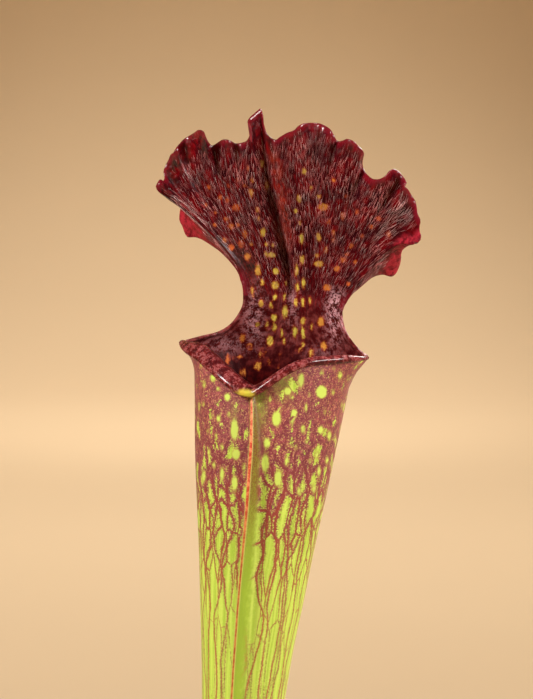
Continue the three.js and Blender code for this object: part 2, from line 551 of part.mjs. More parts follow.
// ---------------------------------------------------------------- pot
const potProfile = [
  [0, 0], [POT_BASE_R - 1.2, 0], [POT_BASE_R, 1.2], [POT_WALL_R, POT_COLLAR_Z], [POT_COLLAR_R, POT_COLLAR_Z + 0.8],
  [POT_RIM_R, POT_HEIGHT - 1], [POT_RIM_R - 0.7, POT_HEIGHT], [POT_RIM_R - 1.6, POT_HEIGHT], [POT_RIM_R - 2.2, POT_HEIGHT - 0.8],
  [POT_COLLAR_R - 2.6, POT_COLLAR_Z + 3], [POT_WALL_R - POT_WALL, POT_COLLAR_Z - 2],
  [POT_BASE_R - POT_WALL + 0.5, POT_FLOOR + 1.2], [POT_BASE_R - POT_WALL - 0.8, POT_FLOOR], [0, POT_FLOOR],
].map(([r, z]) => new THREE.Vector2(r, z));
const lathe = (profile, seg) => { const g = new THREE.LatheGeometry(profile, seg); g.rotateX(Math.PI / 2); return g; };
function closedLathe(profile, seg) {
  const g = lathe(profile, seg);
  g.deleteAttribute('normal');
  g.deleteAttribute('uv');
  const m = mergeVertices(g, 1e-4);
  const ix = [];
  for (let i = 0; i < m.index.count; i += 3) {
    const [a, b, c] = [m.index.array[i], m.index.array[i + 1], m.index.array[i + 2]];
    if (a !== b && b !== c && c !== a) ix.push(a, b, c);
  }
  m.setIndex(ix);
  if (volumeOf(m) < 0) for (let i = 0; i < ix.length; i += 3) [ix[i], ix[i + 1]] = [ix[i + 1], ix[i]];
  m.setIndex(ix);
  return m;
}
let pot = toManifold(closedLathe(potProfile, 44));
for (let i = 0; i < DRAIN_HOLES; i++) {
  const a = (2 * Math.PI * (i + 0.5)) / DRAIN_HOLES;
  const cyl = new THREE.CylinderGeometry(DRAIN_R, DRAIN_R, 10, 12);
  cyl.rotateX(Math.PI / 2);
  pot = pot.subtract(toManifold(cyl, new THREE.Matrix4().makeTranslation(
    DRAIN_PITCH_R * Math.cos(a), DRAIN_PITCH_R * Math.sin(a), 0)));
}

// ---------------------------------------------------------------- soil
// Fills the pot inside its wall, with a gently uneven top that dips round the crown.
const soilTop = (x, y) => {
  const r = Math.hypot(x, y);
  const d = Math.hypot((x - CROWN.c[0]) / 26, (y - CROWN.c[1]) / 20);
  return SOIL_TOP - 2.6 * Math.exp(-(d ** 4)) + 0.5 * Math.sin(x * 0.23 + 1.1) * Math.cos(y * 0.27 - 0.4) + 0.3 * Math.sin(r * 0.4);
};
const innerR = (z) => POT_BASE_R - POT_WALL + 0.5 + ((z - POT_FLOOR - 1.2) / (POT_COLLAR_Z - 2 - POT_FLOOR - 1.2))
  * (POT_WALL_R - POT_WALL - (POT_BASE_R - POT_WALL + 0.5));
function soilGeometry() {
  const seg = 32;
  const bottom = POT_FLOOR + GAP;
  const pts = [];
  const tris = [];
  const ring = (r, zf) => {
    const start = pts.length;
    for (let j = 0; j < seg; j++) {
      const a = (2 * Math.PI * j) / seg;
      const x = r * Math.cos(a);
      const y = r * Math.sin(a);
      pts.push([x, y, typeof zf === 'function' ? zf(x, y) : zf]);
    }
    return start;
  };
  const zw = POT_COLLAR_Z - 3;
  const inset = GAP + 0.3;
  const starts = [
    ring(innerR(bottom) - inset - 1.6, bottom), ring(innerR(zw) - inset, zw),
    ring(innerR(zw) - inset + 0.15, soilTop), ring(34, soilTop), ring(27, soilTop), ring(19, soilTop), ring(10, soilTop),
  ];
  for (let i = 0; i < starts.length - 1; i++) {
    for (let j = 0; j < seg; j++) {
      const k = (j + 1) % seg;
      tris.push([starts[i] + j, starts[i] + k, starts[i + 1] + k], [starts[i] + j, starts[i + 1] + k, starts[i + 1] + j]);
    }
  }
  const c0 = pts.length;
  pts.push([0, 0, bottom], [0, 0, soilTop(0, 0)]);
  const last = starts[starts.length - 1];
  for (let j = 0; j < seg; j++) {
    const k = (j + 1) % seg;
    tris.push([c0, starts[0] + k, starts[0] + j], [c0 + 1, last + j, last + k]);
  }
  const g = geometryFrom(pts, tris);
  return volumeOf(g) < 0 ? geometryFrom(pts, tris.map(([a, b, c]) => [a, c, b])) : g;
}
let soil = toManifold(soilGeometry()).subtract(rhizomeSolid(GAP));
for (const s of sockets) soil = soil.subtract(socketCut(s));

// ---------------------------------------------------------------- scene graph
const plant = new THREE.Group();
plant.name = 'potted_pitcher_plant';
const add = (name, geometry, color, roughness, metalness = 0) => {
  geometry.computeVertexNormals();
  const mesh = new THREE.Mesh(geometry, new THREE.MeshStandardMaterial({ color, roughness, metalness }));
  mesh.name = name;
  plant.add(mesh);
  return mesh;
};
add('pot', fromManifold(pot), 0x3a3634, 0.55);
add('soil', fromManifold(soil), 0x3b2a1d, 0.95);
add('rhizome', fromManifold(rhizome), 0x6b4a30, 0.8);
add('pitcher_main', fromManifold(main), 0x8a2f35, 0.45);
add('pitcher_small_1', fromManifold(small1), 0x8f4a35, 0.45);
add('pitcher_small_2', fromManifold(small2), 0x8f5a35, 0.45);
add('pitcher_bud', bud, 0x9aa842, 0.45);
add('phyllode_1', phyllode1, 0x7f9a3c, 0.5);
add('phyllode_2', phyllode2, 0x7f9a3c, 0.5);
add('phyllode_3', phyllode3, 0x7f9a3c, 0.5);
add('leaf_base_1', leafBase1, 0x8a6a42, 0.85);
add('leaf_base_2', leafBase2, 0x8a6a42, 0.85);

export default plant;
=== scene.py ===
import math

import bpy
import numpy as np
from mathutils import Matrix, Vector


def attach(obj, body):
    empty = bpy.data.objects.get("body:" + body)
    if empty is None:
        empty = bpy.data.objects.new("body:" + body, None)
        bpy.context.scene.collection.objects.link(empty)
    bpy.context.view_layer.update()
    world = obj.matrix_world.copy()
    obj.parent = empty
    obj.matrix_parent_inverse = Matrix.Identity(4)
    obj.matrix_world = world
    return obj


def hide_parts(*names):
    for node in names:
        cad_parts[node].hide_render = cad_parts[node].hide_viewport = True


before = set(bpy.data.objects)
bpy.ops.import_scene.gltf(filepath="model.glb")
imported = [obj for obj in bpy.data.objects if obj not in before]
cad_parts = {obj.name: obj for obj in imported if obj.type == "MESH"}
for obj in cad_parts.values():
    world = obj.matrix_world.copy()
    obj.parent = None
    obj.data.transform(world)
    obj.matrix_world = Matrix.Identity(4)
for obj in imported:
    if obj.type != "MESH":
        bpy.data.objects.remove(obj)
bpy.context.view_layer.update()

RNG = np.random.default_rng(7)
MM = 0.001

# ------------------------------------------------------------------ leaf tables (millimetres)
# Main pitcher tube: height, axis x, axis y, radius.
TUBE = [
    [66.6, -8.9, 1.5, 3.1], [72, -8.5, 1.5, 2.85], [80, -7.95, 1.5, 2.55], [95, -6.7, 1.5, 2.6],
    [115, -5.0, 1.5, 3.35], [135, -3.1, 1.5, 4.55], [155, -1.25, 1.4, 6.1], [169.6, 0.03, 1.2, 7.42],
    [178.9, 0.75, 1.05, 8.25], [188.5, 1.64, 0.86, 9.35], [198, 2.48, 0.68, 10.4], [207.4, 3.32, 0.51, 11.6],
    [216.9, 4.16, 0.33, 12.75], [226.2, 5.09, 0.13, 13.7], [231.8, 5.6, 0.01, 14.25], [238, 5.95, 0, 14.6],
]
# Front rim: angle round the tube, height of the middle of the lip's roll.
RIM = [
    [-92, 236.9], [-80, 236.5], [-69, 236.1], [-57, 235.45], [-46, 234.4], [-36, 233.3], [-27.5, 232.1], [-20, 231.05],
    [-13, 230.05], [-7, 229.5], [-2.4, 229.35], [1.7, 229.8], [7, 230.75], [13, 231.9], [19, 233.0], [24.6, 233.8],
    [30, 234.35], [38, 234.75], [54, 234.9], [70, 234.85], [80, 234.7], [92, 234.5],
]
# Keel: height, how far it stands out, angle of its foot, lean to the leaf's right (degrees).
KEEL = [
    [84, 0.2, 6, 20], [100, 1.2, 6, 22], [125, 2.4, 6.3, 24], [150, 3.0, 6.3, 24.5], [172.6, 3.1, 6.3, 24.1],
    [181.5, 3.1, 6.2, 24.9], [190.6, 3.1, 5.4, 22.7], [199.9, 3.1, 5.1, 18.4], [209.3, 3.0, 4.4, 13],
    [213.9, 2.8, 4.1, 13.5], [218.5, 2.5, 3.4, 12.5], [223.1, 1.8, 0.8, 4.5], [227.6, 0.9, -1.6, -4],
]
EDGE_L = [[0, -17.47, 236.59, 0], [0.15, -14.58, 237.28, 4], [0.35, -12.15, 237.81, 6.8], [0.55, -9.96, 239.23, 8.2], [0.75, -8.12, 241.73, 8.2], [1, -7.27, 244.45, 7.4]]
EDGE_R = [[0, 17.32, 234.65, 0], [0.15, 14.9, 235.77, 3], [0.35, 13.27, 237.19, 5.2], [0.55, 12.12, 238.5, 6.8], [0.75, 11.46, 240.1, 7.6], [1, 11.26, 242.15, 7.6]]
BACK = [[0, 0, 235, 14.4], [0.5, 0.63, 238.39, 13.3], [1, 0.87, 243.3, 11.6]]
MARGIN_BASE = [
    [-1, -18.43, 255.66, 9], [-0.94, -19.88, 259.62, 5.5], [-0.87, -21.13, 264.35, 0.5], [-0.76, -21.11, 268.99, 0.5], [-0.62, -18.48, 272.86, 1.5], [-0.46, -13.15, 274.2, 1.5],
    [-0.3, -8.86, 273.88, 1], [-0.12, -4.89, 274.64, 1], [0, -3.3, 274.82, 1.5], [0.1, -0.94, 274.49, 1], [0.22, 3.4, 275.65, 0], [0.36, 8.9, 276.4, 0.5],
    [0.47, 13.19, 274.24, 0.5], [0.57, 16.64, 270.78, 1], [0.67, 20.26, 268.09, 0.5], [0.78, 24.42, 265.97, 0], [0.87, 26.58, 261.77, 0.5], [0.94, 27, 256.6, 1.5],
    [1, 21.51, 249.88, 9],
]
MARGIN = [
    [-1, -19, 255.42, 13], [-0.994, -19.7, 255.53, 13.5], [-0.988, -20.09, 256.29, 13.5], [-0.978, -20.36, 257.46, 13], [-0.967, -20.82, 258.62, 12.5], [-0.959, -20.69, 259.6, 12],
    [-0.948, -20.25, 260.8, 11], [-0.935, -19.38, 261.49, 9], [-0.922, -19.93, 262, 6.5], [-0.904, -20.41, 262.93, 3], [-0.889, -20.63, 263.83, 0], [-0.881, -21.01, 264.46, -1.5],
    [-0.875, -21.33, 264.97, -2.5], [-0.87, -21.49, 265.64, -3], [-0.858, -21.2, 266.38, -3], [-0.844, -21.07, 266.88, -2], [-0.824, -20.78, 266.54, -0.5], [-0.809, -20.74, 267.14, 0.5],
    [-0.792, -21.05, 268.23, 1], [-0.774, -20.79, 269.32, 1.5], [-0.756, -20.21, 270.44, 1.5], [-0.74, -19.7, 271.39, 1], [-0.723, -18.88, 271.81, 0], [-0.708, -18.5, 272.55, 0],
    [-0.684, -17.98, 273.44, 1], [-0.658, -17.26, 274.34, 2], [-0.64, -16.31, 274.9, 2], [-0.62, -15.31, 275.4, 1], [-0.582, -13.88, 276.02, -1], [-0.56, -12.89, 275.88, -2],
    [-0.54, -12.63, 275.04, -1.5], [-0.505, -12.42, 273.88, 0], [-0.46, -12.05, 273.06, 2.5], [-0.429, -10.98, 273.64, 2], [-0.398, -10, 274.14, 1], [-0.369, -9.01, 274.28, 0],
    [-0.341, -8.18, 273.99, 0.5], [-0.3, -7.57, 273.48, 2], [-0.263, -6.25, 273.68, 2], [-0.232, -5.27, 274.09, 1], [-0.196, -4.49, 275.04, 0], [-0.155, -4.12, 276.36, -0.8],
    [-0.13, -4.22, 277.19, -1.2], [-0.115, -4.54, 277.65, -1.2], [-0.089, -4.35, 278.36, -0.6], [-0.06, -3.73, 278.99, 0], [-0.03, -3.11, 279.62, 0.6], [0, -2.63, 279.8, 1],
    [0.013, -2.39, 279.07, 1], [0.033, -2.31, 277.96, 1], [0.055, -2.1, 276.67, 1.2], [0.08, -1.6, 275.29, 1.5], [0.098, -0.95, 274.55, 2], [0.112, -0.2, 274.22, 2],
    [0.142, 0.94, 274.77, 1], [0.17, 2.46, 275.55, 0], [0.2, 4.16, 276.18, -1], [0.219, 4.82, 276.8, -1.5], [0.238, 5.47, 277.24, -1], [0.263, 6.2, 277.37, 0],
    [0.299, 7.21, 277.38, 1.5], [0.33, 8.33, 277.16, 2.5], [0.353, 9.55, 276.63, 2], [0.376, 10.48, 276.03, 1], [0.397, 11.05, 275.03, 1], [0.42, 11.42, 274.12, 2],
    [0.45, 12.91, 274.25, 0], [0.474, 14.11, 274.58, -1.5], [0.49, 15.1, 274.24, -1.8], [0.512, 15.79, 273.29, -0.5], [0.528, 16.44, 272.55, 0], [0.54, 16.5, 272.05, 1],
    [0.56, 16.09, 271.08, 2.5], [0.582, 15.91, 269.77, 3], [0.602, 16.38, 268.7, 2.5], [0.624, 17.3, 267.83, 1.5], [0.65, 18.5, 267.28, 0], [0.676, 19.97, 267.34, -1],
    [0.699, 21.16, 268.01, -1.5], [0.72, 21.81, 268.9, -1], [0.733, 22.28, 269.13, 0], [0.748, 22.95, 268.73, 1], [0.761, 23.6, 268.01, 1], [0.78, 24.51, 267.06, 0],
    [0.787, 24.68, 266.72, -0.5], [0.796, 24.28, 266.26, -0.5], [0.808, 24.79, 265.61, 0], [0.83, 25.37, 264.38, 1], [0.846, 26.12, 263.29, 1], [0.862, 26.52, 262.16, 0],
    [0.88, 26.91, 260.95, -1], [0.889, 27.46, 259.99, -1.5], [0.899, 27.12, 258.92, -0.5], [0.908, 27.05, 257.79, 0], [0.92, 27.53, 256.98, -1.5], [0.923, 27.46, 256.34, -2],
    [0.93, 26.13, 256.13, 0], [0.94, 24.54, 255.73, 3], [0.951, 22.84, 254.73, 6.5], [0.96, 22.15, 253.43, 9], [0.975, 21.79, 252.16, 11], [0.988, 21.3, 250.73, 12.5],
    [1, 20.66, 249.37, 13],
]
HOOD_EDGE_L = [
    [0, -7.27, 244.45, 7.4], [0.109, -7.4, 246.52, 7.4], [0.18, -7.75, 247.83, 7.4], [0.275, -8.46, 249.5, 7.6], [0.388, -9.8, 251.14, 8], [0.474, -10.95, 252.22, 8.4],
    [0.564, -12.24, 253.2, 9], [0.666, -13.78, 254.06, 9.8], [0.752, -15.1, 254.75, 10.5], [0.83, -16.26, 255.21, 11.3], [0.901, -17.39, 255.47, 12], [1, -19, 255.42, 13],
]
HOOD_EDGE_R = [
    [0, 11.26, 242.15, 7.6], [0.068, 11.6, 243.1, 7.5], [0.172, 12.37, 244.44, 7.4], [0.281, 13.31, 245.76, 7.4], [0.378, 14.39, 246.69, 7.7], [0.495, 15.6, 247.78, 8.3],
    [0.6, 16.58, 248.62, 9.2], [0.71, 17.71, 249.06, 10.3], [0.807, 18.65, 249.05, 11.4], [0.87, 19.31, 248.77, 12], [0.917, 19.79, 248.64, 12.5], [1, 20.66, 249.37, 13],
]
YAW = 12.0
MOUTH = (5.7, 0.0, 235.0)


# ------------------------------------------------------------------ small maths
def curve(rows):
    """Cubic interpolation through rows [x, y0, y1, ...]."""
    r = np.array(rows, float)
    x, y = r[:, 0], r[:, 1:]
    h = np.diff(x)
    dl = np.diff(y, axis=0) / h[:, None]
    m = np.zeros_like(y)
    m[1:-1] = (dl[:-1] * h[1:, None] + dl[1:] * h[:-1, None]) / (h[:-1] + h[1:])[:, None]
    m[0] = 2 * dl[0] - m[1]
    m[-1] = 2 * dl[-1] - m[-2]

    def f(q):
        q = np.atleast_1d(np.asarray(q, float))
        shape = q.shape
        q = q.ravel()
        i = np.clip(np.searchsorted(x, q, side="right") - 1, 0, len(x) - 2)
        t = ((q - x[i]) / h[i])[:, None]
        H = h[i][:, None]
        out = (2 * t**3 - 3 * t**2 + 1) * y[i] + (t**3 - 2 * t**2 + t) * H * m[i] + (3 * t**2 - 2 * t**3) * y[i + 1] + (t**3 - t**2) * H * m[i + 1]
        return out.reshape(shape + (y.shape[1],))

    return f


def sstep(x, a, b):
    t = np.clip((np.asarray(x, float) - a) / (b - a), 0, 1)
    return t * t * (3 - 2 * t)


def vnoise(p, seed=0):
    """Smooth value noise, roughly -1..1, of points p (n, 3)."""
    p = np.asarray(p, float)
    i = np.floor(p).astype(np.int64)
    f = p - i
    f = f * f * (3 - 2 * f)
    out = np.zeros(len(p))
    for dx in (0, 1):
        for dy in (0, 1):
            for dz in (0, 1):
                h = (i[:, 0] + dx) * 374761393 + (i[:, 1] + dy) * 668265263 + (i[:, 2] + dz) * 2147483647 + seed * 974634777
                h = (h ^ (h >> 13)) * 1274126177
                h = (h ^ (h >> 16)) & 0xFFFFFF
                v = h / 0x7FFFFF - 1.0
                w = (f[:, 0] if dx else 1 - f[:, 0]) * (f[:, 1] if dy else 1 - f[:, 1]) * (f[:, 2] if dz else 1 - f[:, 2])
                out += v * w
    return out


def fbm(p, octaves=3, seed=0):
    out, amp = 0, 1.0
    for k in range(octaves):
        out = out + amp * vnoise(np.asarray(p) * 2.0**k, seed + k)
        amp *= 0.5
    return out


def mesh_piece(name, verts, faces, mats, face_mat=None, attrs=None, replaces=(), smooth=True):
    me = bpy.data.meshes.new(name)
    me.from_pydata((np.asarray(verts) * MM).tolist(), [], [list(map(int, f)) for f in faces])
    for m in mats:
        me.materials.append(m)
    if face_mat is not None:
        me.polygons.foreach_set("material_index", np.asarray(face_mat, np.int32))
    me.polygons.foreach_set("use_smooth", np.full(len(me.polygons), bool(smooth)))
    for k, v in (attrs or {}).items():
        a = me.attributes.new(k, "FLOAT", "POINT")
        a.data.foreach_set("value", np.asarray(v, np.float32))
    me.validate()
    me.update()
    ob = bpy.data.objects.new(name, me)
    bpy.context.scene.collection.objects.link(ob)
    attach(ob, "root")
    if replaces:
        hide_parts(*replaces)
    return ob


def vertex_normals(v, faces):
    n = np.zeros_like(v)
    q = np.array([f for f in faces if len(f) == 4], int)
    t = np.array([f for f in faces if len(f) == 3], int)
    if len(q):
        c = np.cross(v[q[:, 2]] - v[q[:, 0]], v[q[:, 3]] - v[q[:, 1]])
        for k in range(4):
            np.add.at(n, q[:, k], c)
    if len(t):
        c = np.cross(v[t[:, 1]] - v[t[:, 0]], v[t[:, 2]] - v[t[:, 0]])
        for k in range(3):
            np.add.at(n, t[:, k], c)
    return n / np.maximum(np.linalg.norm(n, axis=1), 1e-12)[:, None]


def relax(v, faces, w, rounds=14):
    """Evens out the sheet where w says so."""
    e = np.array([(f[i], f[(i + 1) % len(f)]) for f in faces for i in range(len(f))])
    e = np.vstack([e, e[:, ::-1]])
    near = w[e[:, 0]] > 0
    e = e[near]
    cnt = np.zeros(len(v))
    np.add.at(cnt, e[:, 0], 1)
    cnt = np.maximum(cnt, 1)
    v = v.copy()
    for _ in range(rounds):
        s = np.zeros_like(v)
        np.add.at(s, e[:, 0], v[e[:, 1]])
        v += (w * 0.6)[:, None] * np.where(w[:, None] > 0, s / cnt[:, None] - v, 0)
    return v


def thicken(v, faces, th, back_push=None):
    """Two skins, th apart, closed by a rounded edge. Returns verts, faces, kind of face (0 front, 1 back, 2 edge), source index, is_front."""
    n = len(v)
    nor = vertex_normals(v, faces)
    front = v + nor * (th / 2)[:, None]
    back = v - nor * (th / 2)[:, None]
    if back_push is not None:
        back = back + back_push
    direct = {}
    for f in faces:
        for k in range(len(f)):
            direct[(f[k], f[(k + 1) % len(f)])] = True
    border = [(p, q) for (p, q) in direct if (q, p) not in direct]
    out = np.zeros_like(v)
    for p, q in border:
        o = np.cross(v[q] - v[p], nor[p] + nor[q])
        o /= max(np.linalg.norm(o), 1e-12)
        out[p] += o
        out[q] += o
    ring = sorted(set(p for e in border for p in e))
    mid_of = {p: 2 * n + i for i, p in enumerate(ring)}
    mids = np.array([0.5 * (front[p] + back[p]) + out[p] / max(np.linalg.norm(out[p]), 1e-12) * th[p] * 0.42 for p in ring]).reshape(-1, 3)
    verts = np.vstack([front, back, mids])
    fs = [list(f) for f in faces]
    kind = [0] * len(faces)
    for f in faces:
        fs.append([a + n for a in reversed(f)])
        kind.append(1)
    for p, q in border:
        fs.append([q, p, mid_of[p], mid_of[q]])
        fs.append([mid_of[q], mid_of[p], p + n, q + n])
        kind += [2, 2]
    src = np.concatenate([np.arange(n), np.arange(n), np.array(ring, int)])
    is_front = np.concatenate([np.ones(n), np.zeros(n), np.full(len(ring), 0.5)])
    return verts, fs, kind, src, is_front


# ------------------------------------------------------------------ pitcher surface
edge_l, edge_r, back_line = curve(EDGE_L), curve(EDGE_R), curve(BACK)
margin_base, margin = curve(MARGIN_BASE), curve(MARGIN)
hood_edge_l, hood_edge_r = curve(HOOD_EDGE_L), curve(HOOD_EDGE_R)
rim_z = curve(RIM)


def lip_r(a):
    return 14.7 + 2.9 * sstep(np.abs(a), 45, 92)


def column_row(s, t):
    L, R, C = edge_l(s)[0], edge_r(s)[0], back_line(s)[0]
    t = np.asarray(t, float)
    k = np.abs(t)
    th = math.radians(88 - 26 * s)
    fp = np.sin(k * th) / math.sin(th)
    fq = (1 - np.cos(k * th)) / (1 - math.cos(th))
    E = np.where((t < 0)[:, None], L, R)
    return np.stack([C[0] + (E[:, 0] - C[0]) * fp, C[1] + (E[:, 1] - C[1]) * k**1.6, C[2] + (E[:, 2] - C[2]) * fq], -1)


def hood_rays(s, t):
    t, s = np.asarray(t, float), np.asarray(s, float)
    k, sg = np.abs(t), np.sign(t)
    N, n1, M = column_row(1.0, t), column_row(0.999, t), margin_base(t)
    ln = np.hypot(M[:, 0] - N[:, 0], M[:, 1] - N[:, 1])
    T0 = N - n1
    T0 *= (0.75 * ln / np.hypot(T0[:, 0], T0[:, 1]))[:, None]
    T0[:, 0] += t * ln * 0.25
    T0[:, 2] = -2.5
    e = sstep(k, 0.75, 1)
    T1 = (M - N) * 1.05
    T1[:, 0] = (1 - e) * T1[:, 0] + e * sg * 11.5
    T1[:, 1] = (1 - e) * T1[:, 1] - e * 0.4
    T1[:, 2] = -1
    S = s[:, None, None]
    H = (2 * S**3 - 3 * S**2 + 1) * N + (S**3 - 2 * S**2 + S) * T0 + (3 * S**2 - 2 * S**3) * M + (S**3 - S**2) * T1
    H = H + S**5 * (margin(t) - M)
    H[..., 2] += 2.2 * np.exp(-((t / 0.1) ** 2))[None] * np.sin(np.pi * s**0.8)[:, None]
    return H


def hood_points(s, t):
    H = hood_rays(s, t)
    for side, free in ((-1, hood_edge_l), (1, hood_edge_r)):
        ray = hood_rays(s, np.array([float(side)]))[:, 0]
        w = sstep(np.asarray(t) * side, 0.55, 1)
        H = H + w[None, :, None] * (free(s) - ray)[:, None]
    return H


def t_grid(n, mix=0.6):
    """Positions across the hood, closer together where the margin is longer."""
    tt = np.linspace(-1, 1, 4001)
    m = margin(tt)
    c = np.r_[0, np.cumsum(np.linalg.norm(np.diff(m, axis=0), axis=1))]
    w = mix * c / c[-1] + (1 - mix) * (tt + 1) / 2
    t = np.interp(np.linspace(0, 1, n + 1), w, tt)
    t[0], t[-1] = -1, 1
    return t


def pitcher(o):
    tube = curve(o["tube"])
    keel = curve(o["keel"])
    yaw = math.radians(o["yaw"])
    back = np.array([math.sin(yaw), math.cos(yaw), 0.0])
    across = np.array([math.cos(yaw), -math.sin(yaw), 0.0])
    upv = np.array([0, 0, 1.0])
    k, mouth = o["size"], np.array(o["mouth"], float)
    z0 = o["tube"][0][0]

    def place(h):
        return np.array([mouth[0], mouth[1], 0]) + k * (h[..., :1] * across + h[..., 2:] * back) + (mouth[2] + k * (h[..., 1:2] - 235.0)) * upv

    def axis_dir(a):
        a = np.radians(a)[..., None]
        return np.sin(a) * across - np.cos(a) * back

    def tang_dir(a):
        a = np.radians(a)[..., None]
        return np.cos(a) * across + np.sin(a) * back

    nb, mult = o["nb"], o["mult"]
    th_fine = t_grid(nb * mult, o.get("mix", 0.6))
    tb = th_fine[::mult]
    ab = np.where(tb <= 0, -(180 - 90 * np.abs(tb)), 180 - 90 * tb)
    xr = np.array(o["ridge_x"], float)  # across the keel, leaf's left (+) to right (-)
    nf = o["nf"]

    def front_angles(z):
        r = tube(z)[0, 2]
        kz = np.clip(z, keel_lo, keel_hi)
        foot = keel(kz)[0, 1]
        ridge = foot + np.degrees(xr * min(1.0, r / 3.2) / r)
        hi, lo = ridge[0], ridge[-1]
        left = np.linspace(90, hi, nf + 1)[1:-1]
        right = np.linspace(lo, -90, nf + 1)[1:-1]
        return np.concatenate([left, ridge, right])

    keel_lo, keel_hi = o["keel"][0][0], o["keel"][-1][0]
    ztop_mid = mouth[2] - 5 * k
    a_top = front_angles(ztop_mid)
    K = len(ab) + len(a_top)
    nfr = len(a_top)

    # the lip's roll: half width, half height and tilt by angle; broad and turned outwards on the right hand of the leaf
    def roll(a):
        s = sstep(a, -12, 14)
        ear = 1 - 0.82 * sstep(np.abs(a), 60, 91)
        return ((1 - s) * 1.5 + s * 0.7) * k * ear, ((1 - s) * 0.56 + s * 0.56) * k * ear, np.radians((1 - s) * 38 + s * 12) * ear

    zr = mouth[2] + k * (rim_z(a_top)[:, 0] - 235.0)
    c = tube(zr)
    cen = np.stack([c[:, 0], c[:, 1], zr], -1) + (k * lip_r(a_top))[:, None] * axis_dir(a_top)
    ra, rb, tilt = roll(a_top)
    e_r = axis_dir(a_top)
    # keep the roll square to the rim's own run
    run = np.gradient(cen, axis=0)
    run /= np.linalg.norm(run, axis=1)[:, None]
    e_u = np.cross(run, e_r)
    e_u *= np.sign(e_u[:, 2])[:, None]
    e_u /= np.linalg.norm(e_u, axis=1)[:, None]
    cen = cen - e_r * (ra * np.cos(tilt) - k * (0.75 - 0.6 * sstep(np.abs(a_top), 60, 91)))[:, None] + e_u * (0.35 * ra * np.sin(tilt))[:, None]
    top_front = cen - e_r * (ra * np.cos(tilt))[:, None] + e_u * (ra * np.sin(tilt))[:, None]
    top_back = place(column_row(0.0, tb))

    rows = o["rows"](z0, mouth[2])  # fractions 0..1 of the way up
    verts, meta = [], []
    n_rows = len(rows)
    for f in rows:
        zz = z0 + (mouth[2] - 5 * k - z0) * f
        af = front_angles(min(zz, ztop_mid))
        for (ang, top) in ((ab, top_back), (af, top_front)):
            atop = ab if ang is ab else a_top
            z = z0 + (top[:, 2] - z0) * f
            cc = tube(z)
            base = np.stack([cc[:, 0], cc[:, 1], z], -1) + cc[:, 2:3] * axis_dir(ang)
            ct = tube(top[:, 2])
            etop = np.stack([ct[:, 0], ct[:, 1], top[:, 2]], -1) + ct[:, 2:3] * axis_dir(atop)
            aa = np.abs(atop)
            reach = k * (14.4 - 8.6 * sstep(aa, 30, 62) * (1 - sstep(aa, 98, 130)))
            w = sstep((z - top[:, 2] + reach) / (reach + 3.6 * k), 0, 1) / sstep(reach / (reach + 3.6 * k), 0, 1)
            verts.append(base + (top - etop) * w[:, None])
            reg = np.zeros(len(ang))
            meta.append(np.stack([ang, z, reg, np.zeros(len(ang)), np.full(len(ang), 9.0)], -1))
    V = np.vstack(verts)
    A = np.vstack(meta)  # angle, height, region, s, margin distance (mm)
    faces = []
    for i in range(n_rows - 1):
        last = i == n_rows - 2
        for j in range(K):
            if last and j < nb:
                continue
            a, b = i * K + j, i * K + (j + 1) % K
            faces.append([a, b, b + K, a + K])
    # push of the back (outer) skin that makes the keel
    push = np.zeros_like(V)
    ridge_frac = np.zeros(len(V))
    ridge_side = np.zeros(len(V))
    j0 = len(ab) + (nf - 1)
    prof = np.interp(np.abs(xr), [0, 0.2, 0.34, 0.6, 0.95, 1.6], [1, 1, 0.93, 0.45, 0.13, 0])
    for i in range(n_rows):
        idx = i * K + j0 + np.arange(len(xr))
        z = A[idx, 1]
        kz = keel(np.clip(z, keel_lo, keel_hi))
        h = kz[:, 0] * sstep(z, keel_lo - 6, keel_lo + 2) * (1 - sstep(z, keel_hi, keel_hi + 1.6 * k + 0.2))
        lean = np.radians(kz[:, 2])[:, None]
        ang = A[idx, 0]
        d = np.cos(lean) * axis_dir(ang) - np.sin(lean) * tang_dir(ang)
        push[idx] = d * (h * prof)[:, None]
        ridge_frac[idx] = prof * np.clip(h / 0.8, 0, 1)
        ridge_side[idx] = xr
    # foot
    foot = len(V)
    V = np.vstack([V, [[o["tube"][0][1], o["tube"][0][2], z0]]])
    A = np.vstack([A, [[0, z0, 0, 0, 9]]])
    push = np.vstack([push, np.zeros((1, 3))])
    ridge_frac, ridge_side = np.r_[ridge_frac, 0], np.r_[ridge_side, 0]
    for j in range(K):
        faces.append([foot, (j + 1) % K, j])

    def grow(P, meta_rows):
        nonlocal V, A, push, ridge_frac, ridge_side
        start = len(V)
        V = np.vstack([V, P])
        A = np.vstack([A, meta_rows])
        push = np.vstack([push, np.zeros_like(P)])
        ridge_frac = np.r_[ridge_frac, np.zeros(len(P))]
        ridge_side = np.r_[ridge_side, np.zeros(len(P))]
        return start

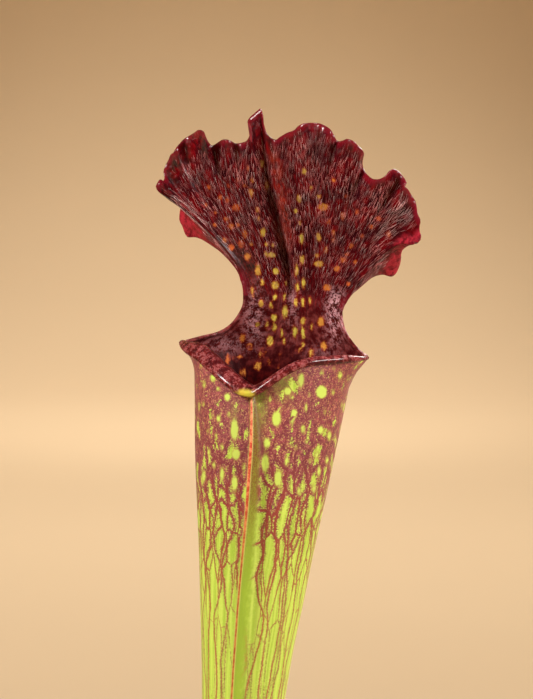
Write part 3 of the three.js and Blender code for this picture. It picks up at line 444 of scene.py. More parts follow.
    # curled lip
    edge = [(n_rows - 1) * K + nb] + [(n_rows - 1) * K + len(ab) + j for j in range(nfr)] + [(n_rows - 1) * K]
    cen_e = np.vstack([top_back[-1] + 0 * across, cen, top_back[0]])
    er_e = np.vstack([axis_dir(np.array([90.0])), e_r, axis_dir(np.array([-90.0]))])
    eu_e = np.vstack([e_u[:1], e_u, e_u[-1:]])
    ra_e, rb_e, tl_e = (np.r_[q[0] * 0.6, q, q[-1] * 0.6] for q in (ra, rb, tilt))
    cen_e[0] = top_back[-1] + er_e[0] * ra_e[0] * np.cos(tl_e[0]) - eu_e[0] * ra_e[0] * np.sin(tl_e[0])
    cen_e[-1] = top_back[0] + er_e[-1] * ra_e[-1] * np.cos(tl_e[-1]) - eu_e[-1] * ra_e[-1] * np.sin(tl_e[-1])
    ang_e = np.r_[90, a_top, -90]
    prev = edge
    steps = np.radians(np.linspace(180, -75, o["curl"] + 1))[1:]
    for i, th in enumerate(steps):
        pr, pu = ra_e * math.cos(th), rb_e * math.sin(th)
        wr, wu = pr * np.cos(tl_e) + pu * np.sin(tl_e), pu * np.cos(tl_e) - pr * np.sin(tl_e)
        P = cen_e + wr[:, None] * er_e + wu[:, None] * eu_e
        m = np.stack([ang_e, P[:, 2], np.full(len(P), 2.0), np.full(len(P), (i + 1) / len(steps)), np.full(len(P), 5.0)], -1)
        st = grow(P, m)
        cur = [st + j for j in range(len(P))]
        for j in range(len(cur) - 1):
            faces.append([prev[j], prev[j + 1], cur[j + 1], cur[j]])
        prev = cur
    # column and hood
    nfine = nb * mult
    fine = []
    row0 = place(column_row(0.0, th_fine))
    coarse = (n_rows - 1) * K
    extra = [i for i in range(nfine + 1) if i % mult]
    st = grow(row0[extra], np.stack([np.interp(th_fine[extra], tb, np.unwrap(np.radians(ab)) * 180 / np.pi), row0[extra][:, 2], np.zeros(len(extra)), np.zeros(len(extra)), np.full(len(extra), 9.0)], -1))
    look = {e: st + n for n, e in enumerate(extra)}
    prev = [look[i] if i % mult else coarse + i // mult for i in range(nfine + 1)]
    low = coarse - K
    half = mult // 2
    for j in range(nb):
        p, q = low + j, low + j + 1
        f = prev[j * mult:(j + 1) * mult + 1]
        for n in range(half):
            faces.append([p, f[n + 1], f[n]])
        faces.append([p, q, f[half]])
        for n in range(half, mult):
            faces.append([q, f[n + 1], f[n]])
    cs = np.linspace(0, 1, o["ncol"] + 1)[1:]
    hs = np.linspace(0, 1, o["nhood"] + 1)[1:] ** 0.85
    grid = [column_row(s, th_fine) for s in cs]
    H = hood_points(hs, th_fine)
    grid += [H[i] for i in range(len(hs))]
    if o.get("tweak"):
        grid = o["tweak"](grid, cs, hs, th_fine)
    W = np.stack([place(g) for g in grid])
    # distance to the free margin, in mm
    Mg = np.vstack([W[-1], W[:, 0], W[:, -1]])
    hood_idx = []
    ang_f = np.interp(th_fine, tb, np.unwrap(np.radians(ab)) * 180 / np.pi)
    for i, P in enumerate(W):
        s = cs[i] - 1 if i < len(cs) else hs[i - len(cs)]
        along = np.linalg.norm(W[-1] - P, axis=1)
        side = np.minimum(np.linalg.norm(P - W[i, :1], axis=1), np.linalg.norm(P - W[i, -1:], axis=1))
        dist = np.minimum(along, side) if i >= len(cs) else side
        reg = np.full(len(P), 1.0)
        st = grow(P, np.stack([ang_f, P[:, 2], reg, np.full(len(P), s), dist], -1))
        cur = [st + j for j in range(nfine + 1)]
        hood_idx.append(cur)
        for j in range(nfine):
            faces.append([prev[j], prev[j + 1], cur[j + 1], cur[j]])
        prev = cur
    # soften the bend where the column leaves the tube
    tv = np.where(A[:, 0] < 0, np.abs(A[:, 0]) - 90, np.abs(A[:, 0]) - 90) / 90
    wr = np.exp(-(((A[:, 1] - mouth[2] - 0.5 * k) / (3.2 * k)) ** 2)) * np.clip(tv * 3.2, 0, 1) ** 2 * (A[:, 2] < 1.5)
    V = relax(V, faces, np.where(wr > 0.03, wr, 0), o.get("relax", 26))
    th = np.where(A[:, 2] == 1, o["wall"] * (0.8 - 0.35 * np.clip(A[:, 3], 0, 1)), o["wall"])
    th = np.where(A[:, 2] == 2, o["wall"] * 0.7, th)
    return dict(V=V, A=A, faces=faces, th=th, push=push, ridge=ridge_frac, side=ridge_side, place=place,
                hood=np.array(hood_idx), t=th_fine, cs=cs, hs=hs)


# ------------------------------------------------------------------ materials
def new_mat(name):
    m = bpy.data.materials.new(name)
    m.use_nodes = True
    nt = m.node_tree
    for n in list(nt.nodes):
        nt.nodes.remove(n)
    out = nt.nodes.new("ShaderNodeOutputMaterial")
    bsdf = nt.nodes.new("ShaderNodeBsdfPrincipled")
    nt.links.new(bsdf.outputs[0], out.inputs[0])
    return m, nt, bsdf


class G:
    """Short names for building node graphs."""

    def __init__(self, nt):
        self.nt = nt

    def node(self, kind, **kw):
        n = self.nt.nodes.new(kind)
        for k, v in kw.items():
            setattr(n, k, v)
        return n

    def put(self, sock, v):
        if isinstance(v, bpy.types.NodeSocket):
            self.nt.links.new(v, sock)
        elif v is not None:
            sock.default_value = v

    def attr(self, name):
        return self.node("ShaderNodeAttribute", attribute_name=name).outputs["Fac"]

    def coord(self):
        return self.node("ShaderNodeTexCoord").outputs["Object"]

    def math(self, op, a, b=None, c=None, clamp=False):
        n = self.node("ShaderNodeMath", operation=op, use_clamp=clamp)
        self.put(n.inputs[0], a)
        self.put(n.inputs[1], b)
        self.put(n.inputs[2], c)
        return n.outputs[0]

    def range(self, v, a, b, c=0.0, d=1.0, smooth=True):
        n = self.node("ShaderNodeMapRange", interpolation_type="SMOOTHSTEP" if smooth else "LINEAR")
        self.put(n.inputs[0], v)
        for i, x in zip((1, 2, 3, 4), (a, b, c, d)):
            self.put(n.inputs[i], x)
        return n.outputs[0]

    def mix(self, f, a, b, mode="MIX"):
        n = self.node("ShaderNodeMix", data_type="RGBA", blend_type=mode)
        self.put(n.inputs["Factor"], f)
        self.put(n.inputs[6], a if isinstance(a, bpy.types.NodeSocket) else rgba(a))
        self.put(n.inputs[7], b if isinstance(b, bpy.types.NodeSocket) else rgba(b))
        return n.outputs[2]

    def mixf(self, f, a, b):
        n = self.node("ShaderNodeMix", data_type="FLOAT")
        self.put(n.inputs["Factor"], f)
        self.put(n.inputs[2], a)
        self.put(n.inputs[3], b)
        return n.outputs[0]

    def xyz(self, x, y, z):
        n = self.node("ShaderNodeCombineXYZ")
        for i, v in enumerate((x, y, z)):
            self.put(n.inputs[i], v)
        return n.outputs[0]

    def noise(self, vec, scale, detail=2.0, rough=0.5, dim="3D"):
        n = self.node("ShaderNodeTexNoise", noise_dimensions=dim)
        self.put(n.inputs["Vector"], vec)
        n.inputs["Scale"].default_value = scale
        n.inputs["Detail"].default_value = detail
        n.inputs["Roughness"].default_value = rough
        return n.outputs["Fac"]

    def voronoi(self, vec, scale, feature="F1", rand=1.0, dim="3D", out="Distance"):
        n = self.node("ShaderNodeTexVoronoi", feature=feature, voronoi_dimensions=dim)
        self.put(n.inputs["Vector"], vec)
        n.inputs["Scale"].default_value = scale
        n.inputs["Randomness"].default_value = rand
        return n.outputs[out]

    def bump(self, height, strength, dist, normal=None):
        n = self.node("ShaderNodeBump")
        self.put(n.inputs["Height"], height)
        n.inputs["Strength"].default_value = strength
        n.inputs["Distance"].default_value = dist
        if normal is not None:
            self.put(n.inputs["Normal"], normal)
        return n.outputs[0]


def srgb(r, g, b):
    f = lambda c: (c / 255 / 12.92) if c / 255 <= 0.04045 else ((c / 255 + 0.055) / 1.055) ** 2.4
    return (f(r), f(g), f(b), 1.0)


def rgba(c):
    return tuple(c) + ((1.0,) if len(c) == 3 else ())


G.vattr = lambda self, name: self.node("ShaderNodeAttribute", attribute_name=name).outputs["Vector"]


def vop(g, op, a, b=None, out=0):
    n = g.node("ShaderNodeVectorMath", operation=op)
    g.put(n.inputs[0], a)
    if b is not None:
        g.put(n.inputs[1], b)
    return n.outputs[out]


def vmul(g, v, k):
    return vop(g, "MULTIPLY", v, k)


def ncolor(g, vec, scale, detail=2.0):
    n = g.node("ShaderNodeTexNoise", noise_dimensions="3D")
    g.put(n.inputs["Vector"], vec)
    n.inputs["Scale"].default_value = scale
    n.inputs["Detail"].default_value = detail
    return n.outputs["Color"]


def warp(g, vec, by, scale, amount):
    """vec moved about by a smooth noise of the coordinate by."""
    n = g.node("ShaderNodeVectorMath", operation="MULTIPLY_ADD")
    g.put(n.inputs[0], ncolor(g, by, scale, 1.0))
    n.inputs[1].default_value = (amount, amount, amount)
    g.put(n.inputs[2], vec)
    return n.outputs[0]


def vein_distance(g, q, aspect, rand=0.85):
    """Distance to the wall between two cells, in cell widths, true also where the cells are long."""
    p1 = g.voronoi(q, 1.0, "F1", rand, out="Position")
    p2 = g.voronoi(q, 1.0, "F2", rand, out="Position")
    a, b = vop(g, "SUBTRACT", q, p1), vop(g, "SUBTRACT", q, p2)
    phi = g.math("MULTIPLY", g.math("SUBTRACT", vop(g, "DOT_PRODUCT", b, b, 1), vop(g, "DOT_PRODUCT", a, a, 1)), 0.5)
    # only the part of the step between the cells that lies in the leaf's surface counts
    out = vop(g, "NORMALIZE", vmul(g, q, (1.0, 1.0, 0.0)))
    step = vop(g, "SUBTRACT", p1, p2)
    proj = g.node("ShaderNodeVectorMath", operation="SCALE")
    g.put(proj.inputs[0], out)
    g.put(proj.inputs["Scale"], vop(g, "DOT_PRODUCT", step, out, 1))
    step = vop(g, "SUBTRACT", step, proj.outputs[0])
    grad = g.math("MAXIMUM", vop(g, "LENGTH", vop(g, "MULTIPLY", step, g.xyz(1.0, 1.0, aspect)), out=1), 0.02)
    return g.math("DIVIDE", phi, grad)


VEINS, CELL_DEG = 30, 12.0


def vein_lines(g, phase, along, wander, small):
    """Distance, in line spacings, to the nearest of VEINS lines that run up the leaf, wander and meet; and a number of the line."""
    M = g.math
    whole = M("FLOOR", phase)
    best, which = None, None
    for j in (-1.0, 0.0, 1.0):
        i = M("ADD", whole, j)
        iw = M("FLOORED_MODULO", i, float(VEINS))
        n1 = g.noise(g.xyz(M("MULTIPLY", iw, 5.37), M("MULTIPLY", along, 0.95), 0.3), 1.0, 0.0)
        n2 = g.noise(g.xyz(M("MULTIPLY", iw, 3.11), M("MULTIPLY", along, 3.4), 7.7), 1.0, 1.0)
        off = M("ADD", M("MULTIPLY", M("SUBTRACT", n1, 0.5), wander), M("MULTIPLY", M("SUBTRACT", n2, 0.5), small))
        x = M("SUBTRACT", M("SUBTRACT", M("SUBTRACT", phase, i), 0.5), off)
        x = M("ABSOLUTE", x)
        if best is None:
            best, which = x, iw
        else:
            near = M("LESS_THAN", x, best)
            which = g.mixf(near, which, iw)
            best = M("SMOOTH_MIN", best, x, 0.1)
    return best, which


def inside_material():
    """Inner face of the tube, column, hood and rolled lip."""
    m, nt, b = new_mat("pitcher_inside")
    g = G(nt)
    M = g.math
    c, cell = g.coord(), g.vattr("cell")
    fine, mid = g.noise(c, 2800.0, 3, 0.6), g.noise(c, 800.0, 3)
    big = g.noise(c, 240.0, 2)
    s, t, md, lip = g.attr("hs"), g.attr("ht"), g.attr("mdist"), g.attr("lip")
    wc = warp(g, cell, cell, 1.3, 0.5)
    streak = g.noise(vmul(g, wc, (6.0, 6.0, 0.9)), 1.0, 3, 0.6)
    net = g.voronoi(vmul(g, wc, (2.4, 2.4, 1.1)), 1.0, "DISTANCE_TO_EDGE")
    vein = g.range(net, 0.03, 0.2, 1.0, 0.0)
    hood = g.mix(g.range(streak, 0.35, 0.7), srgb(32, 2, 6), srgb(90, 6, 11))
    hood = g.mix(g.range(big, 0.42, 0.62, 0.0, 0.4), hood, srgb(126, 9, 16))
    hood = g.mix(M("MULTIPLY", vein, 0.65), hood, srgb(40, 6, 13))
    col = g.mix(g.range(mid, 0.35, 0.7), srgb(74, 16, 17), srgb(130, 58, 55))
    base = g.mix(g.range(s, -0.35, 0.25), col, hood)
    # pale pink patches on the column's sides and the inner back wall: painted sheen, highlights painted into the colour
    base = g.mix(M("MULTIPLY", g.attr("painted_sheen"), g.range(M("ADD", M("MULTIPLY", mid, 0.45), M("MULTIPLY", fine, 0.55)), 0.475, 0.555, 0.0, 1.0)), base, srgb(202, 148, 154))
    # darker further down inside the tube: painted shade
    deep_shade = g.mix(g.range(mid, 0.4, 0.7), srgb(42, 3, 6), srgb(78, 10, 10))
    base = g.mix(g.range(s, -1.7, -0.5), deep_shade, base)
    # lighter orange-red strip on the midrib groove's wall that faces the key light: painted highlight
    base = g.mix(M("MULTIPLY", g.attr("painted_groove_light"), g.range(M("ADD", mid, M("MULTIPLY", streak, 0.5)), 0.6, 0.95, 0.1, 0.8)), base, srgb(150, 52, 36))
    # spots, ragged, orange at their edges
    sp = M("ADD", g.attr("spot"), M("MULTIPLY", M("SUBTRACT", fine, 0.5), 0.55))
    sp = M("ADD", sp, M("MULTIPLY", M("SUBTRACT", g.noise(vmul(g, c, (1600.0, 1600.0, 800.0)), 1.0, 3), 0.5), 0.55))
    sm = g.range(sp, -0.28, 0.24)
    core = g.mix(g.attr("spotc"), srgb(216, 198, 82), srgb(204, 98, 44))
    sc = g.mix(g.range(sp, -0.12, 0.25), srgb(164, 54, 28), core)
    base = g.mix(M("MULTIPLY", sm, g.range(s, 0.1, 0.55, 0.92, 0.55)), base, sc)
    edge = M("ADD", md, M("MULTIPLY", mid, 1.4))
    base = g.mix(g.range(edge, 0.9, 2.4, 0.7, 0.0), base, g.mix(fine, srgb(128, 22, 36), srgb(92, 12, 24)))
    base = g.mix(M("MULTIPLY", g.attr("lobe"), 0.9), base, g.mix(g.range(M("ADD", M("MULTIPLY", mid, 0.6), M("MULTIPLY", fine, 0.4)), 0.42, 0.62), srgb(168, 40, 54), srgb(84, 8, 18)))
    # brighter red band along the hood's edge nearer the key light: painted light
    base = g.mix(M("MULTIPLY", g.attr("painted_glow"), g.range(M("ADD", M("MULTIPLY", mid, 0.5), M("MULTIPLY", streak, 0.5)), 0.42, 0.6, 0.05, 0.75)), base, srgb(142, 30, 32))
    lc = g.mix(g.range(mid, 0.35, 0.62), srgb(62, 10, 13), srgb(100, 25, 25))
    # pale pink flecks over the lip: painted highlights
    lc = g.mix(g.range(M("ADD", M("MULTIPLY", mid, 0.4), M("MULTIPLY", fine, 0.6)), 0.49, 0.58, 0.0, 0.6), lc, srgb(156, 88, 88))
    lc = g.mix(g.range(M("ADD", g.attr("spot"), M("MULTIPLY", M("SUBTRACT", mid, 0.5), 1.2)), -0.5, 0.55), lc, g.mix(mid, srgb(150, 156, 46), srgb(202, 170, 62)))
    base = g.mix(lip, base, lc)
    g.put(b.inputs["Base Color"], base)
    g.put(b.inputs["Roughness"], M("ADD", M("SUBTRACT", g.range(fine, 0.3, 0.7, 0.26, 0.42), M("MULTIPLY", g.attr("bubble"), 0.06)), M("ADD", g.range(s, -1.6, -1.0, 0.1, 0.0), M("MULTIPLY", g.attr("lobe"), 0.2))))
    b.inputs["Specular IOR Level"].default_value = 0.035
    g.put(b.inputs["Coat Weight"], M("ADD", M("MULTIPLY", g.attr("bubble"), 0.75), 0.015))
    b.inputs["Coat Roughness"].default_value = 0.13
    b.inputs["Subsurface Weight"].default_value = 0.1
    b.inputs["Subsurface Radius"].default_value = (0.0010, 0.0003, 0.0002)
    b.inputs["Subsurface Scale"].default_value = 1.0
    bubbles = g.voronoi(c, 1050.0, "SMOOTH_F1")
    h = M("ADD", M("MULTIPLY", vein, -0.5), M("MULTIPLY", fine, 0.5))
    h = M("ADD", h, M("MULTIPLY", M("MULTIPLY", bubbles, g.attr("bubble")), -4.2))
    h = M("MULTIPLY", M("ADD", h, M("MULTIPLY", streak, 0.5)), g.range(s, -1.5, -0.6, 0.35, 1.0))
    g.put(b.inputs["Normal"], g.bump(h, 0.6, 0.00025))
    return m


def outside_material():
    """Outer face of the tube, keel and back of the hood."""
    m, nt, b = new_mat("pitcher_outside")
    g = G(nt)
    M = g.math
    c, cell = g.coord(), g.vattr("cell")
    z, wide = g.attr("zn"), g.attr("wide")
    fine, mid, grain = g.noise(c, 5200.0, 2, 0.6), g.noise(c, 1000.0, 3), g.noise(c, 3300.0, 3, 0.65)
    big = g.noise(c, 220.0, 2)
    gf = M("SUBTRACT", grain, 0.5)
    wc = warp(g, cell, cell, 1.1, 0.42)
    d = M("MULTIPLY", vein_distance(g, wc, g.attr("aspect")), wide)
    vary = g.noise(vmul(g, cell, (1.0, 1.0, 0.6)), 1.0, 1)
    along = g.attr("along")
    line, which = vein_lines(g, g.attr("phase"), along, g.range(z, 150.0, 196.0, 0.9, 2.3), 0.4)
    lane = M("MULTIPLY", wide, 360.0 / VEINS / CELL_DEG)
    dl = M("MULTIPLY", line, lane)
    strong = g.noise(g.xyz(M("MULTIPLY", which, 7.13), M("MULTIPLY", along, 0.45), 3.1), 1.0, 1.0)
    # lime opens as rounded windows between the veins, small near the mouth and nearly the whole gap further down
    zt = g.range(z, 196.0, 224.0, 0.0, 1.0, smooth=False)
    edge_w = M("ADD", g.range(z, 188.0, 208.0, 0.11, 0.33, smooth=False), g.range(z, 206.0, 227.0, 0.0, 1.08, smooth=False))
    edge_w = M("ADD", edge_w, M("MULTIPLY", M("SUBTRACT", big, 0.5), M("ADD", M("MULTIPLY", zt, 1.0), 0.15)))
    dmin = M("SMOOTH_MIN", dl, M("ADD", d, 0.12), 0.25)
    lm = M("SUBTRACT", dmin, edge_w)
    lm = M("ADD", lm, M("MULTIPLY", gf, M("ADD", M("MULTIPLY", zt, 2.2), 0.7)))
    lime_m = g.range(lm, -0.24, 0.3)
    sp = M("ADD", g.attr("spot"), M("MULTIPLY", gf, 0.42))
    sp = M("ADD", sp, M("MULTIPLY", M("SUBTRACT", mid, 0.5), 0.3))
    sm = g.range(sp, -0.2, 0.27)
    streaks = g.noise(vmul(g, wc, (4.0, 4.0, 0.35)), 1.0, 2)
    lime = g.mix(g.range(streaks, 0.3, 0.7), srgb(152, 178, 54), srgb(184, 204, 82))
    lime = g.mix(g.range(grain, 0.52, 0.7, 0.0, 0.4), lime, srgb(202, 216, 112))
    mauve = g.mix(g.range(mid, 0.38, 0.62), srgb(114, 42, 56), srgb(152, 75, 76))
    mauve = g.mix(g.range(grain, 0.5, 0.62, 0.0, 0.68), mauve, srgb(204, 158, 98))
    mauve = g.mix(g.range(fine, 0.4, 0.56, 0.65, 0.0), mauve, srgb(96, 30, 46))
    mauve = g.mix(M("MULTIPLY", g.attr("olive"), g.range(grain, 0.36, 0.56, 0.35, 0.95)), mauve, g.mix(mid, srgb(104, 112, 40), srgb(142, 140, 56)))
    stip = M("MULTIPLY", g.range(grain, 0.56, 0.46), M("MULTIPLY", g.range(z, 190.0, 208.0), g.range(lm, 0.55, 0.1)))
    lime = g.mix(M("MULTIPLY", stip, 0.75), lime, g.mix(mid, srgb(128, 96, 46), srgb(150, 128, 52)))
    base = g.mix(lime_m, mauve, lime)
    # veins: lines up the leaf, and finer ones that join them across
    wl = M("MULTIPLY", g.range(z, 182.0, 208.0, 0.1, 0.19), g.range(strong, 0.3, 0.7, 0.55, 1.35))
    soft = M("MULTIPLY", gf, g.range(z, 190.0, 208.0, 0.1, 0.4))
    v1 = M("SUBTRACT", 1.0, g.range(M("DIVIDE", M("ADD", dl, soft), wl), 0.55, 1.35))
    v1 = M("MULTIPLY", v1, g.range(z, 90.0, 165.0, 0.1, 0.95))
    v1 = M("MULTIPLY", v1, g.range(z, 208.0, 226.0, 1.0, 0.55))
    wx = M("MULTIPLY", g.range(z, 186.0, 208.0, 0.08, 0.18), g.range(vary, 0.32, 0.68, 0.45, 1.4))
    v2 = M("SUBTRACT", 1.0, g.range(M("DIVIDE", M("ADD", d, M("MULTIPLY", soft, 0.8)), wx), 0.5, 1.4))
    v2 = M("MULTIPLY", v2, M("MULTIPLY", g.range(z, 172.0, 198.0, 0.05, 0.9), g.range(z, 210.0, 228.0, 1.0, 0.45)))
    vn = M("MAXIMUM", v1, v2)
    vn = M("MULTIPLY", vn, M("SUBTRACT", 1.0, M("MULTIPLY", g.attr("olive"), 0.6)))
    vine = g.mix(g.range(z, 178.0, 210.0), srgb(164, 90, 42), srgb(134, 50, 42))
    vine = g.mix(g.range(z, 207.0, 219.0), vine, srgb(104, 30, 42))
    base = g.mix(M("MULTIPLY", vn, g.range(z, 180.0, 204.0, 0.82, 1.0)), base, vine)
    spc = g.mix(g.attr("spotc"), srgb(186, 208, 88), srgb(140, 138, 60))
    spc = g.mix(g.range(sp, 0.0, 0.3), srgb(158, 140, 66), spc)
    base = g.mix(sm, base, spc)
    # back of the hood
    hb = g.mix(g.range(mid, 0.35, 0.65), srgb(92, 12, 24), srgb(130, 30, 40))
    hb = g.mix(g.range(g.voronoi(vmul(g, wc, (1.7, 1.7, 1.1)), 1.0, "DISTANCE_TO_EDGE"), 0.03, 0.13, 0.85, 0.0), hb, srgb(74, 11, 22))
    hb = g.mix(sm, hb, g.mix(g.attr("spotc"), srgb(176, 170, 70), srgb(158, 84, 44)))
    base = g.mix(g.attr("hood"), base, hb)
    base = g.mix(g.range(M("ADD", g.attr("mdist"), mid), 0.7, 1.8, 1.0, 0.0), base, srgb(112, 20, 34))
    # keel: green sides, the flank away from the key light darker as painted shade, a pale painted highlight beside the
    # line, orange-red edge
    rg, side = g.attr("ridge"), g.attr("rside")
    # the flank away from the key light (the leaf's left, side above 0) gets the darker green: painted shade
    green = g.mix(g.range(side, -0.25, 0.25), g.mix(streaks, srgb(136, 154, 50), srgb(156, 172, 64)), g.mix(streaks, srgb(122, 146, 30), srgb(140, 164, 42)))
    # browner towards the keel's top, partly its own colour and partly painted shade, darkest on the flank away from the
    # key light
    green = g.mix(M("MULTIPLY", g.range(z, 192.0, 218.0), g.range(grain, 0.42, 0.58, 0.6, 1.0)), green, g.mix(g.range(side, -0.2, 0.4), srgb(126, 74, 44), srgb(104, 54, 22)))
    flat = M("ABSOLUTE", side)
    foot = M("ADD", flat, M("MULTIPLY", M("SUBTRACT", mid, 0.5), 0.9))
    base = g.mix(M("MULTIPLY", g.range(foot, 1.45, 0.5), g.range(rg, 0.02, 0.16)), base, green)
    lw = g.range(z, 190.0, 222.0, 0.09, 0.2)
    # pale band beside the orange-red line on both flanks: painted highlight
    painted_edge_highlight = M("MULTIPLY", g.range(M("ADD", flat, M("MULTIPLY", gf, 0.1)), M("ADD", lw, 0.2), M("ADD", lw, 0.08)), g.range(rg, 0.5, 0.8, 0.0, 0.55))
    base = g.mix(painted_edge_highlight, base, srgb(188, 176, 96))
    rm = M("ADD", M("MULTIPLY", mid, 0.6), M("MULTIPLY", grain, 0.4))
    red = g.mix(g.range(z, 196.0, 218.0), g.mix(g.range(rm, 0.42, 0.58), srgb(150, 74, 32), srgb(180, 114, 54)), g.mix(g.range(rm, 0.42, 0.58), srgb(172, 52, 28), srgb(212, 126, 84)))
    line_m = M("MULTIPLY", g.range(M("ADD", flat, M("MULTIPLY", gf, 0.08)), M("ADD", lw, 0.06), lw), g.range(rg, 0.6, 0.9))
    base = g.mix(line_m, base, red)
    g.put(b.inputs["Base Color"], base)
    g.put(b.inputs["Roughness"], g.range(grain, 0.3, 0.7, 0.42, 0.58))
    b.inputs["Specular IOR Level"].default_value = 0.35
    b.inputs["Coat Weight"].default_value = 0.06
    b.inputs["Coat Roughness"].default_value = 0.3
    b.inputs["Sheen Weight"].default_value = 0.07
    b.inputs["Sheen Roughness"].default_value = 0.35
    b.inputs["Sheen Tint"].default_value = (1.0, 0.86, 0.84, 1.0)
    b.inputs["Subsurface Weight"].default_value = 0.15
    b.inputs["Subsurface Radius"].default_value = (0.0007, 0.0007, 0.0003)
    b.inputs["Subsurface Scale"].default_value = 1.0
    h = M("ADD", M("MULTIPLY", grain, 0.3), M("MULTIPLY", vn, 0.35))
    g.put(b.inputs["Normal"], g.bump(h, 0.4, 0.00016))
    return m


def hair_material():
    m, nt, b = new_mat("hair")
    g = G(nt)
    n = g.noise(g.coord(), 260.0, 2)
    # whiter hairs and the lighter hair tone: partly the hairs' own silvery colour, partly painted glints
    col = g.mix(g.attr("silver_and_glint"), g.mix(g.range(n, 0.4, 0.6), srgb(112, 22, 26), srgb(196, 94, 92)), srgb(244, 216, 210))
    g.put(b.inputs["Base Color"], col)
    g.put(b.inputs["Roughness"], g.range(n, 0.3, 0.7, 0.3, 0.45))
    b.inputs["Specular IOR Level"].default_value = 0.35
    return m


inside_mat, outside_mat, hair_mat = inside_material(), outside_material(), hair_material()


def hairs(name, roots, dirs, normals, lengths, radii, silver_and_glint, rng):
    """Tapered hairs lying along a surface, as one closed mesh each, all in one piece."""
    n = len(roots)
    side = np.cross(dirs, normals)
    side /= np.linalg.norm(side, axis=1)[:, None]
    sway = rng.uniform(-0.16, 0.16, n)[:, None]
    rings = []
    for f, rr in ((0.0, 1.0), (0.45, 0.8), (1.0, 0.0)):
        p = roots + dirs * (lengths * f)[:, None] + normals * (lengths * (0.2 * f - 0.16 * f * f))[:, None] + side * (sway * lengths[:, None] * f * f)
        if rr == 0:
            rings.append(p[:, None, :])
            continue
        q = []
        for j in range(3):
            a = 2 * math.pi * j / 3
            q.append(p + (radii * rr)[:, None] * (math.cos(a) * side + math.sin(a) * normals))
        rings.append(np.stack(q, 1))
    V = np.concatenate(rings, 1)
    per = V.shape[1]
    base = (np.arange(n) * per)[:, None]
    faces = [[0, 2, 1]]
    faces += [[j, (j + 1) % 3, 3 + (j + 1) % 3, 3 + j] for j in range(3)]
    faces += [[3 + j, 3 + (j + 1) % 3, 6] for j in range(3)]
    F = []
    for f in faces:
        F += (base + np.array(f)[None, :]).tolist()
    Vf = V.reshape(-1, 3)
    # make the faces point outwards whatever way the frame turned
    a, bq, cq = V[0, 0], V[0, 1], V[0, 3]
    if np.dot(np.cross(bq - a, cq - a), a - (roots[0])) < 0:
        F = [f[::-1] for f in F]
    return mesh_piece(name, Vf, F, [hair_mat], None, {"silver_and_glint": np.repeat(silver_and_glint, per)}, (), smooth=True)


def hood_hairs(P, name, count, rng, k, column=True):
    """Downward hairs over the hood's inner face, each lying along its ray towards the neck."""
    V = P["V"]
    hood = P["hood"]
    W = V[hood]
    nor = vertex_normals(V, P["faces"])[hood]
    nc = len(P["cs"])
    du = W[1:, :-1] - W[:-1, :-1]
    dv = W[:-1, 1:] - W[:-1, :-1]
    area = np.linalg.norm(np.cross(du, dv), axis=2)
    rows, cols = area.shape
    t_mid = 0.5 * (P["t"][1:] + P["t"][:-1])
    s_row = np.r_[P["cs"] - 1, P["hs"]][:-1]
    md = P["A"][hood][:-1, :-1, 4]
    T, S = np.meshgrid(t_mid, s_row)
    w = area * sstep(md, 0.5 * k, 1.6 * k)
    cen = 0.25 * (W[1:, 1:] + W[:-1, 1:] + W[1:, :-1] + W[:-1, :-1])
    w *= sstep(S + 0.1 * fbm(cen.reshape(-1, 3) / (2.2 * k), 2, 5).reshape(S.shape), -0.02, 0.24)
    band = sstep(-T, 0.44, 0.5) * (1 - sstep(-T, 0.86, 0.9)) * (1 - sstep(md, 3.4 * k, 4.6 * k))
    w *= 1 - 0.96 * band
    w *= 1 - sstep(np.abs(T), 0.865, 0.9) * sstep(S, 0.55, 0.75)
    w *= 1 - 0.9 * sstep(T, -0.21, -0.17) * (1 - sstep(T, 0.08, 0.11)) * sstep(S, 0.86, 0.92)
    cum = np.cumsum((w / w.sum()).ravel())
    pick = np.minimum(np.searchsorted(cum, rng.random(count)), rows * cols - 1)
    i, j = pick // cols, pick % cols
    fu, fv = rng.random(count), rng.random(count)
    def bil(X):
        return (X[i, j] * ((1 - fu) * (1 - fv))[:, None] + X[i + 1, j] * (fu * (1 - fv))[:, None] + X[i, j + 1] * ((1 - fu) * fv)[:, None] + X[i + 1, j + 1] * (fu * fv)[:, None])
    root, nn = bil(W), bil(nor)
    nn /= np.linalg.norm(nn, axis=1)[:, None]
    th = P["th"][hood][i, j]
    root = root + nn * (th / 2 - 0.03)[:, None]
    i2 = np.maximum(i - 3, 0)
    d = W[i2, j] - W[i + 1, j]
    d -= nn * (d * nn).sum(1)[:, None]
    d /= np.linalg.norm(d, axis=1)[:, None]
    side = np.cross(nn, d)
    ang = rng.normal(0, 0.07, count) + 0.2 * fbm(root / (3.2 * k), 2, 9)
    d = d * np.cos(ang)[:, None] + side * np.sin(ang)[:, None]
    ln = k * rng.uniform(1.05, 2.2, count) * (0.6 + 0.4 * sstep(s_row[i], 0.0, 0.3))
    rad = np.full(count, 0.0195) * (0.55 + 0.45 * k) * rng.uniform(0.75, 1.2, count)
    lift = rng.uniform(0.0, 0.1, count)
    d = d + nn * lift[:, None]
    d /= np.linalg.norm(d, axis=1)[:, None]
    # some hairs whiter: partly silvery hair colour, partly painted glints
    silver_and_glint = np.where(rng.random(count) < 0.2, rng.uniform(0.35, 0.8, count), rng.uniform(0, 0.22, count))
    # tufts standing at the two lower folds
    tm = t_mid[j]
    md2 = md[i, j]
    tuft = (np.abs(tm) > 0.8) & (np.abs(tm) < 0.9) & (s_row[i] > 0.6)
    silver_and_glint = np.where(tuft, rng.uniform(0.1, 0.8, count), silver_and_glint)
    ln = np.where(tuft, ln * 1.25, ln)
    return hairs(name, root, d, nn, ln, rad, silver_and_glint, rng)
